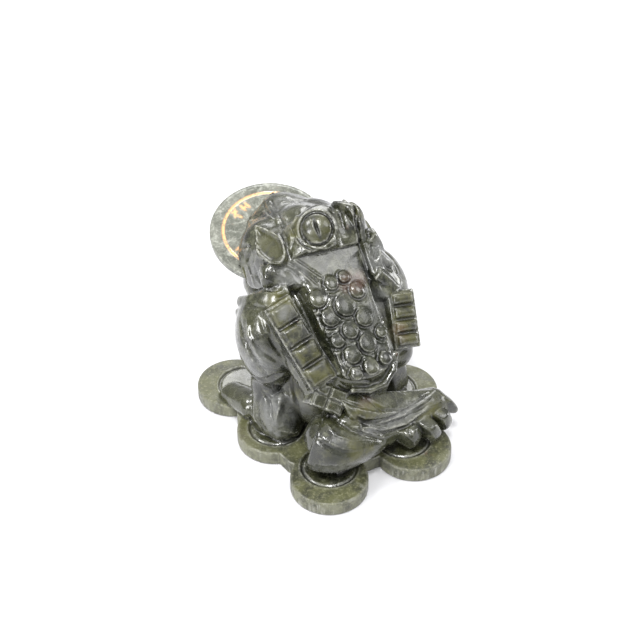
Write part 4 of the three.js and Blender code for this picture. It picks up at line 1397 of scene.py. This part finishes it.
def dark_stone():
    material, tree, shader, place, mottle, marks = stone("dark_green_stone", {
        "Dark": (0.0060, 0.0070, 0.0042, 1), "Middle": (0.036, 0.038, 0.017, 1),
        "Light": (0.115, 0.118, 0.080, 1), "Rust": (0.085, 0.034, 0.014, 1), "Scale": 48.0, "Grains": 0.30,
    }, {"Chips": 1.0, "Scratches": 1.0}, 0.00017)
    names = ("ridge", "hollow", "wall", "moss", "bed", "edge", "pale", "dark", "rust")
    ridge, hollow, wall, moss, bed, edge, pale, dark, rust = (attribute(tree, name) for name in names)
    clouds = ramp(tree, mottle["Cloud"], [(0.42, 0.05), (0.57, 1)])
    streaks = ramp(tree, noise(tree, place, 160.0, 5.0, 0.65, 0.8), [(0.36, 0.3), (0.60, 1)])
    speckled = plus(tree, times(tree, clouds, 0.6), 0.2)
    flecks = ramp(tree, noise(tree, place, 1150.0, 4.0, 0.75), [(0.50, 0), (0.68, 1)])
    patchy = ramp(tree, noise(tree, place, 500.0, 4.0, 0.7), [(0.38, 0.1), (0.56, 1)])
    colour = mottle["Color"]
    for mask, spread, most, tint in (
        # Yellow-green stone, then painted sheen in grey patches.
        (moss, clouds, 0.8, (0.070, 0.068, 0.014)), (pale, streaks, 0.8, (0.125, 0.128, 0.122)),
        # Painted shade in dark patches, partly darker stone; then rust.
        (dark, streaks, 0.7, (0.014, 0.0165, 0.008)), (rust, streaks, 0.42, (0.11, 0.045, 0.025)),
        # The bed's top, darker inside the rings as painted shade, and its sides, painted lighter for light
        # shining through them.
        (bed, speckled, 1.0, (0.080, 0.082, 0.030)), (wall, speckled, 1.0, (0.178, 0.180, 0.122)),
        (maths(tree, "MAXIMUM", bed, wall), flecks, 0.45, (0.26, 0.26, 0.16)),
        # Painted highlight, partly wear: sharp edges and ridges lightened, broken up by noise.
        (edge, patchy, 0.6, (0.40, 0.40, 0.36)), (ridge, 1.0, 0.35, (0.14, 0.14, 0.105)),
        # Painted shade: near black in creases and pupil slits.
        (hollow, 1.0, 0.85, (0.004, 0.0045, 0.003)),
    ):
        colour = mixed(tree, times(tree, times(tree, mask, spread), most), colour, tint)
    dull = plus(tree, times(tree, marks["Dull"], 0.22), 0.15)
    for mask, share in ((wall, 0.30), (bed, 0.28), (moss, 0.12), (hollow, 0.15)):
        dull = plus(tree, dull, times(tree, mask, share))
    tree.links.new(colour, shader.inputs["Base Color"])
    tree.links.new(dull, shader.inputs["Roughness"])
    rough_part = times(tree, moss, 0.8)
    for mask in (dark, bed, wall):
        rough_part = maths(tree, "MAXIMUM", rough_part, mask)
    coat = maths(tree, "SUBTRACT", 0.6, times(tree, rough_part, 0.55))
    tree.links.new(coat, shader.inputs["Coat Weight"])
    shader.inputs["Coat Roughness"].default_value = 0.06
    return material


def pale_stone():
    material, tree, shader, place, mottle, marks = stone("pale_green_stone", {
        "Dark": (0.085, 0.09, 0.072, 1), "Middle": (0.18, 0.184, 0.155, 1), "Light": (0.40, 0.41, 0.36, 1),
        "Rust": (0.20, 0.13, 0.07, 1), "Scale": 90.0, "Grains": 0.6,
    }, {"Chips": 0.5, "Scratches": 1.2}, 0.00012)
    paint = attribute(tree, "paint")
    patchy = ramp(tree, noise(tree, place, 900.0, 4.0, 0.7), [(0.36, 0.2), (0.50, 1)])
    paint = times(tree, paint, patchy)
    colour = mixed(tree, paint, mottle["Color"], (0.86, 0.47, 0.21))
    dull = plus(tree, times(tree, marks["Dull"], 0.18), 0.14)
    tree.links.new(colour, shader.inputs["Base Color"])
    tree.links.new(plus(tree, dull, times(tree, paint, 0.12)), shader.inputs["Roughness"])
    tree.links.new(times(tree, paint, 0.25), shader.inputs["Metallic"])
    return material


# The pieces

BLANK_VOXEL = 0.6  # spacing of the surface while the blank is roughed out
COIN_VOXEL = 0.4  # the same for the coin in the mouth


class ToadSizes(bpy.types.PropertyGroup):
    """Sizes of the carved toad."""

    voxel: bpy.props.FloatProperty(
        name="Fineness", description="Spacing of the carved surface, in millimetres", default=0.45, min=0.2
    )
    triangles: bpy.props.IntProperty(
        name="Most triangles", description="The carved surface is thinned to this many", default=190000
    )


class MONEYTOAD_OT_toad(bpy.types.Operator):
    """Carve the toad and its bed of coins"""

    bl_idname = "moneytoad.toad"
    bl_label = "Toad on coins"

    def execute(self, context):
        sizes = context.scene.moneytoad_toad
        mesh = carved(layers(), BLANK_VOXEL, sizes.voxel)
        points = coordinates(mesh)
        put_coordinates(mesh, points + normals(mesh) * relief(points)[:, None])
        mesh = smoothed(mesh, 0.2)
        triangles = len(mesh.polygons) * 2
        if triangles > sizes.triangles:
            share = sizes.triangles / triangles
            mesh = modified(mesh, "DECIMATE", ratio=share, use_collapse_triangulate=True)
        put_coordinates(mesh, np.clip(coordinates(mesh), *SOLID_BOX))
        put_masks(mesh)
        finished("toad_on_coins_stone", mesh, dark_stone(), "toad_on_coins")
        return {"FINISHED"}


class MONEYTOAD_OT_mouth_coin(bpy.types.Operator):
    """Turn the coin that lies in the toad's mouth"""

    bl_idname = "moneytoad.mouth_coin"
    bl_label = "Coin in the mouth"

    def execute(self, context):
        turn = mouth_coin_frame()
        coin = Disc(turn, MOUTH_COIN_RADIUS, MOUTH_COIN_THICKNESS, 0.7)
        mesh = modified(blank([coin]), "REMESH", mode="VOXEL", voxel_size=COIN_VOXEL)
        for _ in range(2):
            points = coordinates(mesh)
            put_coordinates(mesh, points - normals(mesh) * coin.distance(points)[:, None])
        points = coordinates(mesh)
        rise = ring_height(points, turn, PAINTED_RING, 0.9, -0.35)
        rise += ring_height(points, turn, OUTER_GROOVE, 0.8, -0.25)
        put_coordinates(mesh, points + normals(mesh) * rise[:, None])
        local = to_local(turn, points)
        painted = ring_height(points, turn, PAINTED_RING, 0.8, 1.3)
        for mark in coin_marks():
            painted = np.maximum(painted, stroke_height(local, mark, 0.85, 1.3) * (local[:, 2] > 0))
        put_mask(mesh, "paint", painted)
        finished("mouth_coin_stone", mesh, pale_stone(), "mouth_coin")
        return {"FINISHED"}


class StageSettings(bpy.types.PropertyGroup):
    """The camera and lights."""

    azimuth: bpy.props.FloatProperty(
        name="Azimuth", description="Where the camera stands round the toad, in degrees", default=147.0
    )
    elevation: bpy.props.FloatProperty(
        name="Elevation", description="How high the camera stands, in degrees", default=38.5
    )
    distance: bpy.props.FloatProperty(
        name="Distance", description="From the camera to the toad", default=0.46, unit="LENGTH"
    )
    lens: bpy.props.FloatProperty(name="Lens", description="Focal length in millimetres", default=74.0)
    world: bpy.props.FloatProperty(name="Surroundings", description="Brightness of the tent", default=1.0)


FLOOR_REACH = 6.0
SENSOR_WIDTH = 36
AIM = (0.0043, 0, 0.0446)  # what the camera looks at
LIT_PLACE = (0, 0, 0.04)  # what the lamps are turned to
LAMP_DISTANCE = 0.6


def add_light(name, place, target, size, power):
    data = bpy.data.lights.new(name, "AREA")
    data.shape = "RECTANGLE"
    data.size, data.size_y = size
    data.energy = power
    light = bpy.data.objects.new(name, data)
    light.location = place
    light.rotation_euler = (Vector(target) - Vector(place)).to_track_quat("-Z", "Y").to_euler()
    bpy.context.scene.collection.objects.link(light)


class MONEYTOAD_OT_stage(bpy.types.Operator):
    """Set up the floor, the lights and the camera"""

    bl_idname = "moneytoad.stage"
    bl_label = "Stage"

    def execute(self, context):
        settings = context.scene.moneytoad_stage
        bm = bmesh.new()
        bmesh.ops.create_grid(bm, x_segments=1, y_segments=1, size=FLOOR_REACH)
        floor = bpy.data.objects.new("floor", new_mesh(bm, "floor"))
        context.scene.collection.objects.link(floor)
        paper = bpy.data.materials.new("white_paper")
        paper.use_nodes = True
        shader = paper.node_tree.nodes["Principled BSDF"]
        shader.inputs["Base Color"].default_value = (0.62, 0.62, 0.635, 1)
        shader.inputs["Roughness"].default_value = 0.8
        floor.data.materials.append(paper)

        world = bpy.data.worlds.new("tent")
        world.use_nodes = True
        tree = world.node_tree
        place = add_node(tree, "ShaderNodeTexCoord").outputs["Generated"]
        height = add_node(tree, "ShaderNodeSeparateXYZ", {"Vector": place}).outputs["Z"]
        light = ramp(tree, height, [(0.0, 0.30), (0.30, 0.42), (0.55, 0.8), (0.9, 1.05)], "LINEAR")
        tree.links.new(light, tree.nodes["Background"].inputs["Color"])
        tree.nodes["Background"].inputs["Strength"].default_value = settings.world
        context.scene.world = world
        context.scene.view_settings.view_transform = "Standard"

        azimuth, elevation = math.radians(settings.azimuth), math.radians(settings.elevation)
        back = Vector((
            math.sin(azimuth) * math.cos(elevation),
            -math.cos(azimuth) * math.cos(elevation),
            math.sin(elevation),
        ))
        data = bpy.data.cameras.new("camera")
        data.sensor_width = SENSOR_WIDTH
        data.lens = settings.lens
        data.clip_start = 0.01
        camera = bpy.data.objects.new("camera", data)
        camera.rotation_mode = "QUATERNION"
        camera.location = Vector(AIM) + back * settings.distance
        camera.rotation_quaternion = (-back).to_track_quat("-Z", "Y")
        context.scene.collection.objects.link(camera)
        context.scene.camera = camera
        target = Vector(LIT_PLACE)
        right = Vector((math.cos(azimuth), math.sin(azimuth), 0))
        up = back.cross(right)
        lamps = [
            ("key", (0.88, 0.0, 0.47), (0.11, 0.11), 2.3),
            ("left softbox", (0.55, -0.62, 0.52), (0.16, 0.16), 1.6),
            ("low left", (0.77, -0.58, -0.18), (0.16, 0.2), 1.9),
            ("right softbox", (0.63, 0.66, 0.42), (0.26, 0.26), 0.85),
            ("top", (-0.25, 0.0, 0.95), (0.5, 0.25), 2.0),
            ("far right", (-0.2, 0.95, 0.2), (0.12, 0.4), 1.4),
        ]
        for name, (towards, aside, above), size, power in lamps:
            way = back * towards + right * aside + up * above
            add_light(name, target + LAMP_DISTANCE * way, target, size, power)
        return {"FINISHED"}


class MONEYTOAD_PT_panel(bpy.types.Panel):
    """Lists the pieces of the toad"""

    bl_idname = "MONEYTOAD_PT_panel"
    bl_label = "Stone money toad"
    bl_space_type = "VIEW_3D"
    bl_region_type = "UI"
    bl_category = "Toad"

    def draw(self, context):
        layout = self.layout
        layout.prop(context.scene.moneytoad_toad, "voxel")
        layout.prop(context.scene.moneytoad_toad, "triangles")
        layout.operator("moneytoad.toad")
        layout.operator("moneytoad.mouth_coin")
        layout.operator("moneytoad.stage")


CLASSES = (
    ToadSizes, StageSettings, MONEYTOAD_OT_toad, MONEYTOAD_OT_mouth_coin, MONEYTOAD_OT_stage,
    MONEYTOAD_PT_panel,
)


def register():
    for cls in CLASSES:
        bpy.utils.register_class(cls)
    bpy.types.Scene.moneytoad_toad = bpy.props.PointerProperty(type=ToadSizes)
    bpy.types.Scene.moneytoad_stage = bpy.props.PointerProperty(type=StageSettings)


def unregister():
    del bpy.types.Scene.moneytoad_stage
    del bpy.types.Scene.moneytoad_toad
    for cls in reversed(CLASSES):
        bpy.utils.unregister_class(cls)


def main():
    register()
    bpy.ops.moneytoad.toad()
    bpy.ops.moneytoad.mouth_coin()
    bpy.ops.moneytoad.stage()


if __name__ == "__main__":
    main()
